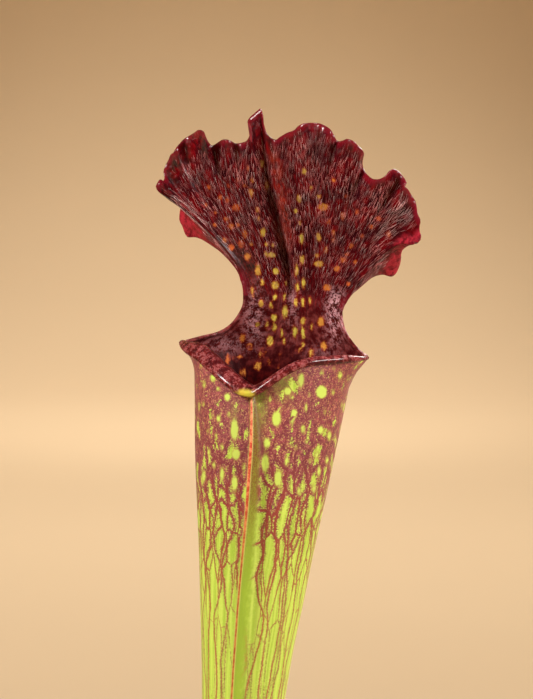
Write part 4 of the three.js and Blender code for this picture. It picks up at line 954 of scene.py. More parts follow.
# ------------------------------------------------------------------ view used to lay marks out
CAM_D, CAM_EL, PX = 550.0, math.radians(6.0), 0.185
AIM = np.array([4.3475, 0.0, 235.6575])
DIRV = np.array([0, math.cos(CAM_EL), -math.sin(CAM_EL)])
UPV = np.array([0, math.sin(CAM_EL), math.cos(CAM_EL)])
CAM = AIM - DIRV * CAM_D


def front_view(p):
    """Where a point shows in the front view: millimetres across and up at the leaf's distance."""
    d = p - CAM
    z = d @ DIRV
    return np.stack([AIM[0] + d[:, 0] / z * CAM_D, AIM[2] + (d @ UPV) / z * CAM_D], -1)


# Pale spots of the hood, column and inner back wall, and of the tube's front, as the front view shows them:
# across, up, width, height (millimetres). Their tint, 0 yellow-green to 1 orange, follows from the place.
HOOD_SPOTS = [
    (3.52, 269.98, 0.74, 1.48), (0.93, 269.24, 0.55, 0.74), (11.29, 268.59, 0.93, 1.29), (1.76, 267.01, 0.55, 0.93), (16.74, 267.01, 0.74, 0.93), (-0.93, 267.01, 0.55, 0.74),
    (4.44, 266.09, 0.74, 1.48), (0.37, 265.98, 0.74, 0.55), (-2.77, 265.9, 0.55, 0.55), (-6.29, 265.63, 0.93, 0.93), (12.58, 265.53, 0.55, 0.74), (1.48, 264.7, 0.93, 1.67),
    (19.05, 264.06, 0.74, 0.55), (14.06, 263.87, 0.93, 0.74), (-4.25, 263.78, 0.74, 1.11), (10.36, 263.57, 0.93, 1.48), (-2.87, 263.31, 0.74, 1.11), (-6.84, 262.39, 0.74, 0.74),
    (14.8, 262.02, 1.85, 1.48), (-1.29, 261.93, 1.48, 1.29), (2.68, 261.47, 0.74, 1.11), (9.75, 261.21, 0.93, 0.93), (21.09, 261.1, 0.74, 0.93), (-5.07, 261, 0.74, 0.55),
    (18.5, 260.41, 0.93, 1.29), (25.07, 259.89, 1.11, 0.93), (-3.15, 259.8, 0.93, 0.93), (2.9, 259.8, 0.55, 0.93), (15.91, 259.25, 0.74, 0.74), (10.54, 259.06, 0.74, 0.93),
    (-0.93, 258.69, 0.74, 0.74), (-5.18, 258.69, 0.74, 0.74), (-2.22, 258.5, 1.11, 1.29), (23.77, 258.32, 0.93, 0.93), (3.7, 257.3, 1.11, 1.67), (16.74, 257.21, 0.55, 1.11),
    (0.37, 257.02, 0.93, 1.48), (26.92, 257.02, 0.74, 1.11), (22.02, 256.65, 0.74, 0.74), (13.97, 256.47, 0.93, 1.67), (10.82, 256.19, 0.93, 2.04), (-3.33, 255.91, 0.93, 0.93),
    (10.91, 255.91, 0.74, 1.11), (16.65, 255.91, 0.55, 0.74), (-0.37, 255.18, 1.11, 1.48), (1.48, 255.18, 0.74, 0.74), (4.44, 255.18, 0.74, 0.93), (5.55, 254.88, 0.55, 0.74),
    (19.98, 254.86, 0.74, 1.11), (-2.22, 254.53, 1.11, 1.29), (15.3, 254.06, 0.74, 1.11), (19.24, 253.32, 0.74, 0.74), (4.25, 253.32, 0.55, 0.93), (5.18, 253.14, 1.67, 1.11),
    (13.69, 253.01, 0.93, 0.93), (0.83, 252.95, 1.11, 1.48), (18.5, 252.22, 1.29, 1.11), (10.91, 252.22, 0.93, 1.67), (20.72, 251.84, 0.74, 0.74), (13.97, 251.47, 1.67, 1.29),
    (17.39, 250.64, 1.11, 1.11), (2.77, 250.37, 1.11, 2.22), (9.88, 250.37, 0.74, 2.04), (6.1, 250.05, 1.29, 1.29), (3.52, 248.14, 0.74, 1.11), (11.19, 247.96, 0.74, 1.67),
    (7.96, 247.96, 0.55, 0.93), (19.43, 247.78, 0.74, 0.74), (5.92, 247.59, 1.48, 1.67), (10.08, 247.13, 0.74, 1.85), (15.63, 247.13, 1.48, 1.29), (1.76, 246.48, 0.55, 1.48),
    (5.92, 245.43, 0.93, 1.11), (7.58, 245.28, 0.55, 1.29), (12.39, 244.81, 0.55, 1.11), (9.8, 244.44, 0.74, 1.48), (11.1, 244.44, 0.74, 1.48), (3.33, 244.26, 0.93, 1.48),
    (5.18, 243.89, 0.74, 1.29), (7.77, 242.65, 1.11, 2.4), (5.74, 241.58, 1.29, 1.29), (11.1, 240.93, 0.93, 1.48), (14.43, 240.8, 1.29, 1.85), (4.38, 240.19, 0.55, 1.48),
    (2.68, 240.19, 0.93, 1.11), (12.71, 239.82, 0.55, 1.11), (5.86, 239.73, 0.93, 1.29), (9.56, 238.95, 0.93, 2.22), (11.1, 238.71, 0.74, 2.22), (7.16, 238.71, 0.55, 1.48),
    (-0.09, 237.78, 1.11, 1.67), (5, 237.23, 1.29, 2.22), (7.58, 237.23, 0.55, 1.48), (11.1, 236.49, 0.55, 1.11), (14.98, 236.31, 1.11, 1.67), (1.2, 236.18, 1.11, 1.29),
    (10.08, 235.56, 0.55, 1.11), (12.58, 235.01, 0.93, 2.04), (3.46, 234.82, 0.93, 1.67), (6.47, 234.64, 0.55, 1.67), (-0.74, 234.33, 1.11, 0.74), (-2.87, 233.72, 0.93, 2.04),
    (4.62, 233.34, 0.55, 0.93), (2.68, 232.6, 1.29, 1.67), (6.38, 232.42, 0.74, 0.74), (0, 231.4, 1.11, 1.67),
]
TUBE_SPOTS = [
    (-7.77, 232.79, 0.46, 1.11), (16.84, 232.24, 0.55, 0.93), (14.56, 231.4, 0.93, 1.11), (17.95, 230.94, 0.93, 1.85), (7.4, 230.63, 1.48, 0.93), (-5.61, 230.38, 1.11, 1.48),
    (19.43, 230.38, 0.46, 1.48), (10.73, 230.01, 1.29, 3.15), (-7.21, 229.28, 0.74, 1.67), (-4.62, 228.35, 0.93, 0.93), (8.23, 227.98, 1.67, 1.67), (14.52, 227.8, 2.22, 2.59),
    (16.65, 227.8, 0.74, 1.29), (12.21, 227.43, 0.55, 0.93), (-2.87, 226.87, 1.29, 1.67), (9.06, 226.69, 0.93, 0.93), (5, 226.5, 1.11, 1.29), (-7.31, 225.57, 0.55, 0.93),
    (18.32, 225.39, 0.46, 1.48), (-8.14, 225.2, 0.46, 1.67), (11.65, 224.84, 0.74, 1.94), (7.03, 224.84, 0.74, 0.74), (15.17, 224.09, 0.55, 1.11), (9.44, 223.91, 1.48, 1.57),
    (-2.66, 223.72, 0.74, 1.11), (-5.74, 223.35, 0.55, 0.93), (-4.51, 222.99, 0.93, 1.67), (6.2, 222.89, 1.85, 3.15), (9.06, 222.25, 1.02, 1.2), (11.1, 220.95, 1.02, 1.85),
    (-1.57, 220.86, 1.57, 4.44), (14.37, 220.76, 1.29, 1.76), (-6.47, 220.58, 0.55, 1.11), (15.91, 219.71, 0.93, 2.22), (-5, 219.66, 0.55, 1.29), (17.02, 219.1, 0.55, 1.48),
    (4.44, 218.36, 1.39, 2.31), (6.1, 217.81, 0.55, 1.11), (1.85, 217.62, 0.55, 1.29), (9.8, 217.62, 0.74, 1.29), (-3.88, 217.62, 0.74, 1.48), (-6.29, 216.69, 0.65, 1.67),
    (-1.29, 216.32, 1.67, 2.4), (13.69, 216.14, 0.83, 1.48), (15.54, 215.22, 0.74, 1.85), (8.14, 215.03, 1.02, 2.04), (12.39, 215.03, 0.65, 1.11), (4.13, 214.66, 1.57, 3.88),
    (-5.37, 214.29, 0.74, 1.48), (0.18, 213.92, 0.74, 1.85), (14.06, 213.18, 0.83, 2.4), (-3.88, 212.72, 0.93, 2.77), (-7.27, 212.35, 0.83, 2.59), (6.47, 211.79, 1.57, 3.52),
    (-1.57, 210.87, 1.29, 3.52), (13.13, 209.85, 0.83, 2.22), (10.36, 209.48, 0.93, 1.85),
]


def tinted(spots, hood, rng):
    out = []
    for x, z, w, h in spots:
        if hood:
            c = float(sstep(abs(x - 8.2), 3.2, 9.5)) * 0.8 + rng.uniform(0, 0.3)
        else:
            c = rng.uniform(0, 0.25) + (0.25 if max(w, h) < 1.35 else 0.0)
        out.append((x, z, w, h, c))
    return out


def spot_field(P, spots, angle=None, radius=None):
    best, tint = np.full(len(P), -3.0), np.zeros(len(P))
    for x, z, w, h, c in spots:
        if angle is None:
            dx = P[:, 0] - x
        else:
            dx = np.radians((angle - x + 180) % 360 - 180) * radius
        r = np.hypot(dx / (w / 2), (P[:, 1] - z) / (h / 2))
        f = (1 - r) * min(w, h) / 2
        k = f > best
        best[k], tint[k] = f[k], c
    return best, tint


def random_spots(rng, amin, amax, z0, z1, keep=0.75, scale=1.0):
    out = []
    z = z0
    while z < z1:
        a = amin + rng.uniform(0, 14)
        while a < amax:
            if rng.random() < keep:
                out.append((a + rng.uniform(-4, 4), z + rng.uniform(-1.4, 1.4) * scale, rng.uniform(0.8, 1.7) * scale, rng.uniform(1.5, 3.6) * scale, rng.uniform(0, 0.4)))
            a += rng.uniform(13, 19)
        z += rng.uniform(3.2, 4.6) * scale
    return out


def rows_main(z0, zt):
    total = zt - 5 - z0
    a = np.arange(0, 95, 2.6)
    b = np.arange(a[-1] + 1.5, total - 36, 1.2)
    c = np.linspace(b[-1] + 0.7, total, 60)
    return np.r_[a, b, c] / total



CELL = 360 / CELL_DEG / (2 * math.pi)
CELL_LEN = ([150, 185, 198, 207, 216, 226, 320], [26, 11.5, 7.6, 6.4, 5.2, 4.4, 4.0])


def along_cells(z):
    """Cell rows up the leaf: short cells near the mouth, long ones below."""
    zz = np.linspace(0, 320, 1281)
    ln = np.interp(zz, *CELL_LEN)
    c = np.r_[0, np.cumsum(1 / (0.5 * (ln[1:] + ln[:-1])) * np.diff(zz))]
    return np.interp(z, zz, c)


def pitcher_piece(name, o, replaces, rng, front=True):
    P = pitcher(o)
    V, A = P["V"], P["A"]
    k = o["size"]
    verts, faces, kind, src, isf = thicken(V, P["faces"], P["th"], P["push"])
    a, z, reg, s, md = A[src].T
    zn = 235 + (z - o["mouth"][2]) / k
    # hood columns' t
    t = np.zeros(len(V))
    hood = P["hood"]
    t[hood] = P["t"][None, :]
    back = np.abs(A[:, 0]) > 90
    t0 = np.where(A[:, 0] < 0, -(1 - (np.abs(A[:, 0]) - 90) / 90), 1 - (np.abs(A[:, 0]) - 90) / 90)
    t = np.where((A[:, 2] == 1), t, np.where(back, t0, np.sign(A[:, 0])))
    t = t[src]
    hood_f = (reg == 1) & (s > 0)
    # length up the leaf, following the hood's own rays
    L = A[:, 1].copy()
    L = 235 + (L - o["mouth"][2]) / k
    H = V[hood]
    step = np.linalg.norm(np.diff(H, axis=0), axis=2) / k
    L[hood] = 236 + np.vstack([np.zeros(H.shape[1]), np.cumsum(step, axis=0)])
    cl = along_cells(L)[src]
    ar = np.radians(a)
    cell = np.stack([np.sin(ar) * CELL, np.cos(ar) * CELL, cl], -1)
    outer = isf < 0.3
    rad0 = curve(o["tube"])(np.clip(z, o["tube"][0][0], o["tube"][-1][0]))[:, 2] / k
    wide = np.where(reg == 1, 3.0, np.radians(CELL_DEG) * rad0)
    aspect = wide / np.interp(L[src], *CELL_LEN)
    ridge = np.where(outer, P["ridge"][src], 0)
    hs = np.where(reg == 1, s, -1.0 - np.clip((236 - zn) / 12.0, 0, 2))
    hoodness = np.where(reg == 1, sstep(s, -1.0, -0.2), 0)
    lip = np.where(reg == 2, sstep(s, 0.0, 0.35), 0)
    spot, tint = np.full(len(verts), -3.0), np.zeros(len(verts))
    rad = curve(o["tube"])(np.clip(z, o["tube"][0][0], o["tube"][-1][0]))[:, 2]
    if front:
        Q = front_view(verts)
        inn = (reg == 1) | (~outer & (np.abs(a) > 88) & (reg == 0))
        spot[inn], tint[inn] = spot_field(Q[inn], tinted(HOOD_SPOTS, True, rng))
        ou = (reg == 0) & outer & (np.abs(a) < 84)
        spot[ou], tint[ou] = spot_field(Q[ou], tinted(TUBE_SPOTS, False, rng))
        lp = reg == 2
        spot[lp], tint[lp] = spot_field(Q[lp], [(0.4, 227.3, 3.2, 2.0, 0)])
        lo, hi = 80.0, 280.0
    else:
        lo, hi = -180.0, 180.0
        inn = (reg == 1) | (~outer & (reg == 0))
        hs_list = random_spots(rng, -170, 170, 236, 270, 0.6, 0.8)
        Q = np.stack([a, np.where(reg == 1, L[src], zn)], -1)
        spot[inn], tint[inn] = spot_field(Q[inn], hs_list, a[inn], np.full(inn.sum(), 14.0))
    side_list = random_spots(rng, lo, hi, 203 if front else 206, 234, 0.8)
    ou = (reg == 0) & outer & ((np.abs(a) >= 84) if front else True)
    Qs = np.stack([a, zn], -1)
    spot[ou], tint[ou] = spot_field(Qs[ou], side_list, a[ou], rad[ou] / k)
    # painted highlight along the midrib groove's wall that faces the key light
    painted_groove_light = np.zeros(len(verts))
    if front:
        x0 = np.interp(Q[:, 1], [250, 258, 265, 272], [8.6, 7.9, 7.1, 5.6])
        painted_groove_light = np.where(hood_f, np.exp(-(((Q[:, 0] - x0) / 0.95) ** 2)) * sstep(Q[:, 1], 250, 257) * (1 - sstep(Q[:, 1], 270, 274)), 0)
    olive = np.zeros(len(verts))
    if front:
        for x, zc, w, h, f in ((3.2, 226.0, 3.6, 15.0, 1.0), (7.6, 229.0, 5.2, 7.5, 0.9), (1.9, 216.0, 2.6, 12.0, 0.7), (-1.6, 223.5, 2.4, 7.0, 0.5)):
            olive = np.maximum(olive, f * np.exp(-2.2 * (((Q[:, 0] - x) / w * 2) ** 2 + ((Q[:, 1] - zc) / h * 2) ** 2) ** 1.5))
        olive = np.where((reg == 0) & outer, olive, 0)
    lobe = np.where(hood_f, sstep(np.abs(t), 0.885, 0.93) * sstep(s, 0.62, 0.8), 0)
    # painted light: a brighter red band along the hood's edge nearer the key light
    painted_glow = np.where(hood_f, sstep(-t, 0.9, 0.98) * sstep(s, 0.25, 0.5) * (1 - sstep(s, 0.85, 0.97)), 0)
    bubble = np.where(hood_f, (1 - sstep(md, 3.0, 6.0) * (1 - 0.0)) * sstep(-t, 0.42, 0.5) * (1 - sstep(-t, 0.84, 0.9)), 0)
    bubble = np.maximum(bubble, np.where(hood_f, (1 - sstep(md, 1.5, 3.0)) * 0.6, 0))
    bubble = bubble * (1 - 0.9 * np.where(hood_f, sstep(np.abs(t), 0.84, 0.9), 0))
    bubble = np.maximum(bubble, 0.4 * lip)
    # painted sheen: pale pink highlight patches on the column's sides and the inner back wall
    painted_sheen = np.zeros(len(verts))
    if front:
        for x, zc, w, h, f in ((17.0, 242.4, 3.4, 10.0, 1.0), (2.1, 241.0, 3.6, 10.0, 0.75), (-2.6, 236.2, 9.0, 4.0, 0.6), (14.8, 235.0, 7.0, 3.0, 0.45), (9.2, 243.5, 3.0, 9.0, 0.4)):
            painted_sheen = np.maximum(painted_sheen, f * np.exp(-((Q[:, 0] - x) / w * 2) ** 2 - ((Q[:, 1] - zc) / h * 2) ** 2))
        painted_sheen = np.where(((reg == 1) & (s < 0.2)) | ((reg == 0) & ~outer), painted_sheen, 0)
        bubble = np.maximum(bubble, np.minimum(1, painted_sheen * 1.3))
    attrs = dict(zn=zn, hs=hs, ht=t, mdist=np.where(hood_f, md, 9.0), lip=lip, spot=spot, spotc=tint, olive=olive, wide=wide, aspect=aspect, ridge=ridge,
                 rside=P["side"][src], hood=hoodness, painted_groove_light=painted_groove_light, lobe=lobe, painted_glow=painted_glow, bubble=bubble, painted_sheen=painted_sheen, along=cl)
    lipv = reg == 2
    fm = [0 if kk in (0, 2) or all(lipv[i] for i in f) else 1 for f, kk in zip(faces, kind)]
    ob = mesh_piece(name, verts, faces, [inside_mat, outside_mat], fm, attrs, replaces)
    ca = ob.data.attributes.new("cell", "FLOAT_VECTOR", "POINT")
    ca.data.foreach_set("vector", np.asarray(cell, np.float32).ravel())
    # place round the tube, in vein lines; kept per corner so that it can start again at the back
    me = ob.data
    vi = np.zeros(len(me.loops), np.int64)
    me.loops.foreach_get("vertex_index", vi)
    tot = np.zeros(len(me.polygons), np.int64)
    me.polygons.foreach_get("loop_total", tot)
    ph = ((a / 360 + 0.5) * VEINS)[vi]
    poly = np.repeat(np.arange(len(tot)), tot)
    top = np.full(len(tot), -1e9)
    np.maximum.at(top, poly, ph)
    ph = np.where(top[poly] - ph > VEINS / 2, ph + VEINS, ph)
    pa = me.attributes.new("phase", "FLOAT", "CORNER")
    pa.data.foreach_set("value", ph.astype(np.float32))
    P.update(verts=verts, attrs=attrs, ob=ob)
    return P


RIDGE_X = [1.9, 1.6, 1.25, 0.95, 0.76, 0.6, 0.46, 0.34, 0.2, 0.07, -0.07, -0.2, -0.34, -0.46, -0.6, -0.76, -0.95, -1.25, -1.6, -1.9]
MAIN = pitcher_piece("pitcher_main_leaf", dict(
    tube=TUBE, keel=KEEL, mouth=MOUTH, yaw=YAW, size=1.0, wall=0.7, nb=72, mult=4, nf=38, ridge_x=RIDGE_X,
    rows=rows_main, curl=9, ncol=18, nhood=66,
), ["pitcher_main"], np.random.default_rng(11))
hood_hairs(MAIN, "hood_hairs", 5600, np.random.default_rng(21), 1.0)


# ------------------------------------------------------------------ young pitchers
def young_tube(base, mouth, k):
    z0, h = base[2], mouth[2] - base[2]
    rows = []
    for f, r in ((0, 0.17), (0.08, 0.15), (0.2, 0.165), (0.4, 0.3), (0.6, 0.52), (0.8, 0.78), (1, 1), (1.12, 1.05)):
        lean = f**1.5
        rows.append([z0 + h * f, base[0] + (mouth[0] - base[0]) * lean, base[1] + (mouth[1] - base[1]) * lean, max(14.4 * k * r, 1.55)])
    return rows


def rows_young(z0, zt):
    total = zt - z0
    a = np.linspace(0, 0.6, 22)
    return np.r_[a, np.linspace(0.62, 1, 30)]


def young(name, node, base, mouth, k, yaw, seed):
    h = mouth[2] - base[2]
    keel = [[base[2] + 0.22 * h, 0.2, 4, 8], [base[2] + 0.4 * h, 1.6 * k + 0.3, 4, 10], [base[2] + 0.7 * h, 3.4 * k, 4, 10],
            [mouth[2] - 8 * k, 1.8 * k, 1, 4], [mouth[2] - 6 * k, 1.0 * k, 0, 0]]
    rx = [1.3, 0.95, 0.7, 0.5, 0.36, 0.24, 0.1, -0.1, -0.24, -0.36, -0.5, -0.7, -0.95, -1.3]
    P = pitcher_piece(name, dict(tube=young_tube(base, mouth, k), keel=keel, mouth=mouth, yaw=yaw, size=k, wall=0.55, nb=40, mult=2, nf=20,
                                 ridge_x=rx, rows=rows_young, curl=7, ncol=10, nhood=34, relax=8),
                      [node], np.random.default_rng(seed), front=False)
    hood_hairs(P, name + "_hairs", int(1500 * k), np.random.default_rng(seed + 1), k)
    return P


young("young_pitcher_right", "pitcher_small_1", [0.2, 6.2, 67.6], [15.5, 17, 128], 0.5, 38, 31)
young("young_pitcher_left", "pitcher_small_2", [-15.2, -4.6, 67.2], [-24.5, -14, 111], 0.4, -62, 41)


# ------------------------------------------------------------------ bud and flat leaves
def green_material(name, tip):
    m, nt, b = new_mat(name)
    g = G(nt)
    M = g.math
    u, v = g.attr("u"), g.attr("v")
    c = g.coord()
    fine, mid = g.noise(c, 2600.0, 3), g.noise(c, 600.0, 3)
    lines = g.noise(g.xyz(M("MULTIPLY", u, 14.0), M("MULTIPLY", v, 3.0), 0.0), 1.0, 3)
    ln2 = g.noise(g.xyz(M("MULTIPLY", u, 34.0), M("MULTIPLY", v, 5.0), 1.7), 1.0, 2)
    base = g.mix(g.range(lines, 0.3, 0.7), srgb(92, 128, 40), srgb(150, 172, 70))
    base = g.mix(g.range(ln2, 0.55, 0.68, 0.0, 0.5), base, srgb(70, 104, 34))
    base = g.mix(g.range(v, 0.22, 0.0, 0.0, 0.85), base, srgb(196, 178, 128))
    base = g.mix(M("MULTIPLY", g.attr("rim"), g.range(mid, 0.35, 0.6, 0.4, 1.0)), base, srgb(138, 44, 40))
    base = g.mix(M("MULTIPLY", g.range(M("ADD", v, M("MULTIPLY", mid, 0.16)), 0.72, 1.08), tip), base, srgb(124, 30, 40))
    base = g.mix(g.range(g.noise(c, 240.0, 4), 0.6, 0.7, 0.0, 0.4), base, srgb(170, 168, 92))
    g.put(b.inputs["Base Color"], base)
    g.put(b.inputs["Roughness"], g.range(fine, 0.3, 0.7, 0.4, 0.56))
    b.inputs["Subsurface Weight"].default_value = 0.12
    b.inputs["Subsurface Radius"].default_value = (0.0006, 0.0008, 0.0002)
    b.inputs["Subsurface Scale"].default_value = 1.0
    g.put(b.inputs["Normal"], g.bump(M("ADD", M("MULTIPLY", lines, 1.0), M("MULTIPLY", fine, 0.3)), 0.5, 0.0002))
    return m


def path_points(base, tip, n, bend):
    f = np.linspace(0, 1, n + 1)
    g = f**bend
    b, t = np.array(base, float), np.array(tip, float)
    return np.stack([b[0] + (t[0] - b[0]) * g, b[1] + (t[1] - b[1]) * g, b[2] + (t[2] - b[2]) * f], -1)


def frames(path, first):
    """Tangent, first and second cross directions along a path."""
    t = np.gradient(path, axis=0)
    t /= np.linalg.norm(t, axis=1)[:, None]
    a = np.zeros_like(path)
    prev = np.array(first, float)
    for i in range(len(path)):
        prev = prev - t[i] * (prev @ t[i])
        prev /= np.linalg.norm(prev)
        a[i] = prev
    return t, a, np.cross(t, a)


def loft_piece(name, rings, mats, attrs, nodes, face_mat=None):
    n, m = rings.shape[:2]
    V = rings.reshape(-1, 3)
    F = []
    for i in range(n - 1):
        for j in range(m):
            a, b = i * m + j, i * m + (j + 1) % m
            F.append([a, b, b + m, a + m])
    V = np.vstack([V, rings[0].mean(0), rings[-1].mean(0)])
    c0, c1 = n * m, n * m + 1
    for j in range(m):
        F.append([c0, (j + 1) % m, j])
        F.append([c1, (n - 1) * m + j, (n - 1) * m + (j + 1) % m])
    q = np.array([f for f in F if len(f) == 4])
    vol = np.einsum("ij,ij->i", V[q[:, 0]], np.cross(V[q[:, 1]], V[q[:, 2]])).sum() + np.einsum("ij,ij->i", V[q[:, 0]], np.cross(V[q[:, 2]], V[q[:, 3]])).sum()
    cen = V.mean(0)
    W = V - cen
    vol = np.einsum("ij,ij->i", W[q[:, 0]], np.cross(W[q[:, 1]], W[q[:, 2]])).sum() + np.einsum("ij,ij->i", W[q[:, 0]], np.cross(W[q[:, 2]], W[q[:, 3]])).sum()
    if vol < 0:
        F = [f[::-1] for f in F]
    out = {}
    for k, v in attrs.items():
        v = np.asarray(v, float)
        out[k] = np.r_[v.ravel(), v[0].mean(), v[-1].mean()]
    return mesh_piece(name, V, F, mats, face_mat, out, nodes)


def sword(name, node, base, tip, width, direction, seed):
    """A flat, keeled, sword-shaped leaf."""
    n = 70
    path = path_points(base, tip, n, 1.7)
    f = np.linspace(0, 1, n + 1)
    k = np.linspace(0, 1, 11)
    w = np.interp(f, k, [1.7, 1.7, 1.9, 0.72 * width, 0.9 * width, width, width, 0.92 * width, 0.74 * width, 0.45 * width, 0.12])
    fl = np.interp(f, k, [0.9, 0.85, 0.66, 0.46, 0.3, 0.22, 0.18, 0.17, 0.18, 0.24, 0.6])
    for arr in (w, fl):
        arr[1:-1] = 0.25 * arr[:-2] + 0.5 * arr[1:-1] + 0.25 * arr[2:]
    t, A, B = frames(path, direction)
    m = 40
    ph = 2 * math.pi * np.arange(m) / m
    x, y = np.cos(ph), np.sin(ph)
    # lens section with a raised rib on one side and thin edges
    lens = np.sign(y) * np.abs(y) ** 1.25
    rib = 0.55 * np.exp(-((x / 0.13) ** 2)) * (y > 0) + 0.2 * np.exp(-((x / 0.2) ** 2)) * (y < 0) * -1
    rings = np.zeros((n + 1, m, 3))
    wave = 0.25 * np.sin(f * 9.0 + seed)[:, None] * np.abs(x)[None, :] ** 2
    for i in range(n + 1):
        up = (lens + rib * min(1, f[i] * 5)) * fl[i] * w[i] + wave[i] * min(1, f[i] * 3) * (1 - f[i])
        tw = 0.35 * f[i] * math.sin(seed)
        a = A[i] * math.cos(tw) + B[i] * math.sin(tw)
        b = B[i] * math.cos(tw) - A[i] * math.sin(tw)
        rings[i] = path[i] + (w[i] * x)[:, None] * a + up[:, None] * b
    u = np.tile(np.where(y >= 0, x, x + 3.1)[None, :], (n + 1, 1))
    v = np.tile(f[:, None], (1, m))
    rim = np.tile((sstep(np.abs(x), 0.93, 0.995))[None, :], (n + 1, 1)) * sstep(f, 0.2, 0.35)[:, None]
    return loft_piece(name, rings, [flat_mat], dict(u=u, v=v, rim=rim), [node])


flat_mat, bud_mat = green_material("flat_leaf", 0.35), green_material("bud_leaf", 0.85)
sword("flat_leaf_left", "phyllode_1", [-16.4, 5.6, 67.2], [-33, 17, 122], 3.6, [0.6, 0.8, 0], 1.0)
sword("flat_leaf_right", "phyllode_2", [4.6, -1.6, 67.4], [27, -13, 131], 3.8, [0.5, 0.86, 0], 2.2)
sword("flat_leaf_back", "phyllode_3", [-8.2, 9.4, 67.2], [-9, 31, 116], 3.4, [1, 0.1, 0], 4.0)


def bud():
    """A pitcher that hasn't opened: slim tube, keel, and a lid folded flat against the mouth."""
    n, m = 96, 44
    path = path_points([-5.2, -6.6, 67.6], [-0.5, -17.5, 139], n, 1.5)
    f = np.linspace(0, 1, n + 1)
    r = np.interp(f, np.linspace(0, 1, 13), [1.9, 1.75, 1.7, 1.8, 2.0, 2.3, 2.7, 3.1, 3.45, 3.7, 3.6, 2.6, 0.5])
    fl = np.interp(f, np.linspace(0, 1, 13), [1, 1, 1, 1, 1, 1, 0.95, 0.9, 0.85, 0.75, 0.6, 0.45, 0.5])
    for _ in range(4):
        for arr in (r, fl):
            arr[1:-1] = 0.25 * arr[:-2] + 0.5 * arr[1:-1] + 0.25 * arr[2:]
    t, A, B = frames(path, [1, 0, 0])
    ph = 2 * math.pi * np.arange(m) / m
    x, y = np.cos(ph), np.sin(ph)
    rings = np.zeros((n + 1, m, 3))
    keel = np.exp(-(((ph - 1.5 * math.pi) / 0.11) ** 2)) if B[n // 2][1] > 0 else np.exp(-(((ph - 0.5 * math.pi) / 0.11) ** 2))
    for i in range(n + 1):
        fi = f[i]
        k = 1 + 0.34 * keel * sstep(fi, 0.2, 0.4) * (1 - sstep(fi, 0.7, 0.76))
        # the folded lid stands a little proud, with a fine seam under it
        lid = sstep(fi, 0.735, 0.75) * 0.10
        seam = -0.12 * math.exp(-(((fi - 0.735) / 0.006) ** 2))
        fold = -0.2 * np.exp(-(((x) / 0.16) ** 2)) * sstep(fi, 0.76, 0.84) * (1 - sstep(fi, 0.97, 1.0))
        k = k * (1 + lid + seam + fold * (np.abs(y) > 0.2))
        pucker = 1 + 0.03 * np.sin(ph * 9 + fi * 5) * sstep(fi, 0.74, 0.8)
        k = np.minimum(k * pucker, 1.32)
        rings[i] = path[i] + (r[i] * x * k)[:, None] * A[i] + (r[i] * fl[i] * y * k)[:, None] * B[i]
    u = np.tile((ph / math.pi)[None, :], (n + 1, 1)) * 1.6
    v = np.tile(f[:, None], (1, m))
    rim = np.tile(keel[None, :], (n + 1, 1)) ** 2 * sstep(f, 0.25, 0.45)[:, None]
    return loft_piece("pitcher_in_bud", rings, [bud_mat], dict(u=u, v=v, rim=rim), ["pitcher_bud"])


bud()


# ------------------------------------------------------------------ dry bases, rhizome
def dry_material():
    m, nt, b = new_mat("dry_base")
    g = G(nt)
    M = g.math
    c, u, v = g.coord(), g.attr("u"), g.attr("v")
    fib = g.noise(g.xyz(M("MULTIPLY", u, 22.0), M("MULTIPLY", v, 1.6), 0.0), 1.0, 4, 0.65)
    mid = g.noise(c, 500.0, 4)
    base = g.mix(g.range(fib, 0.3, 0.7), srgb(84, 56, 34), srgb(176, 138, 92))
    base = g.mix(g.range(mid, 0.5, 0.68, 0.0, 0.7), base, srgb(62, 40, 28))
    base = g.mix(g.range(v, 0.86, 1.0, 0.0, 0.6), base, srgb(196, 170, 128))
    g.put(b.inputs["Base Color"], base)
    g.put(b.inputs["Roughness"], g.range(mid, 0.3, 0.7, 0.72, 0.92))
    g.put(b.inputs["Normal"], g.bump(M("ADD", fib, M("MULTIPLY", mid, 0.4)), 0.8, 0.0004))
    return m


dry_mat = dry_material()


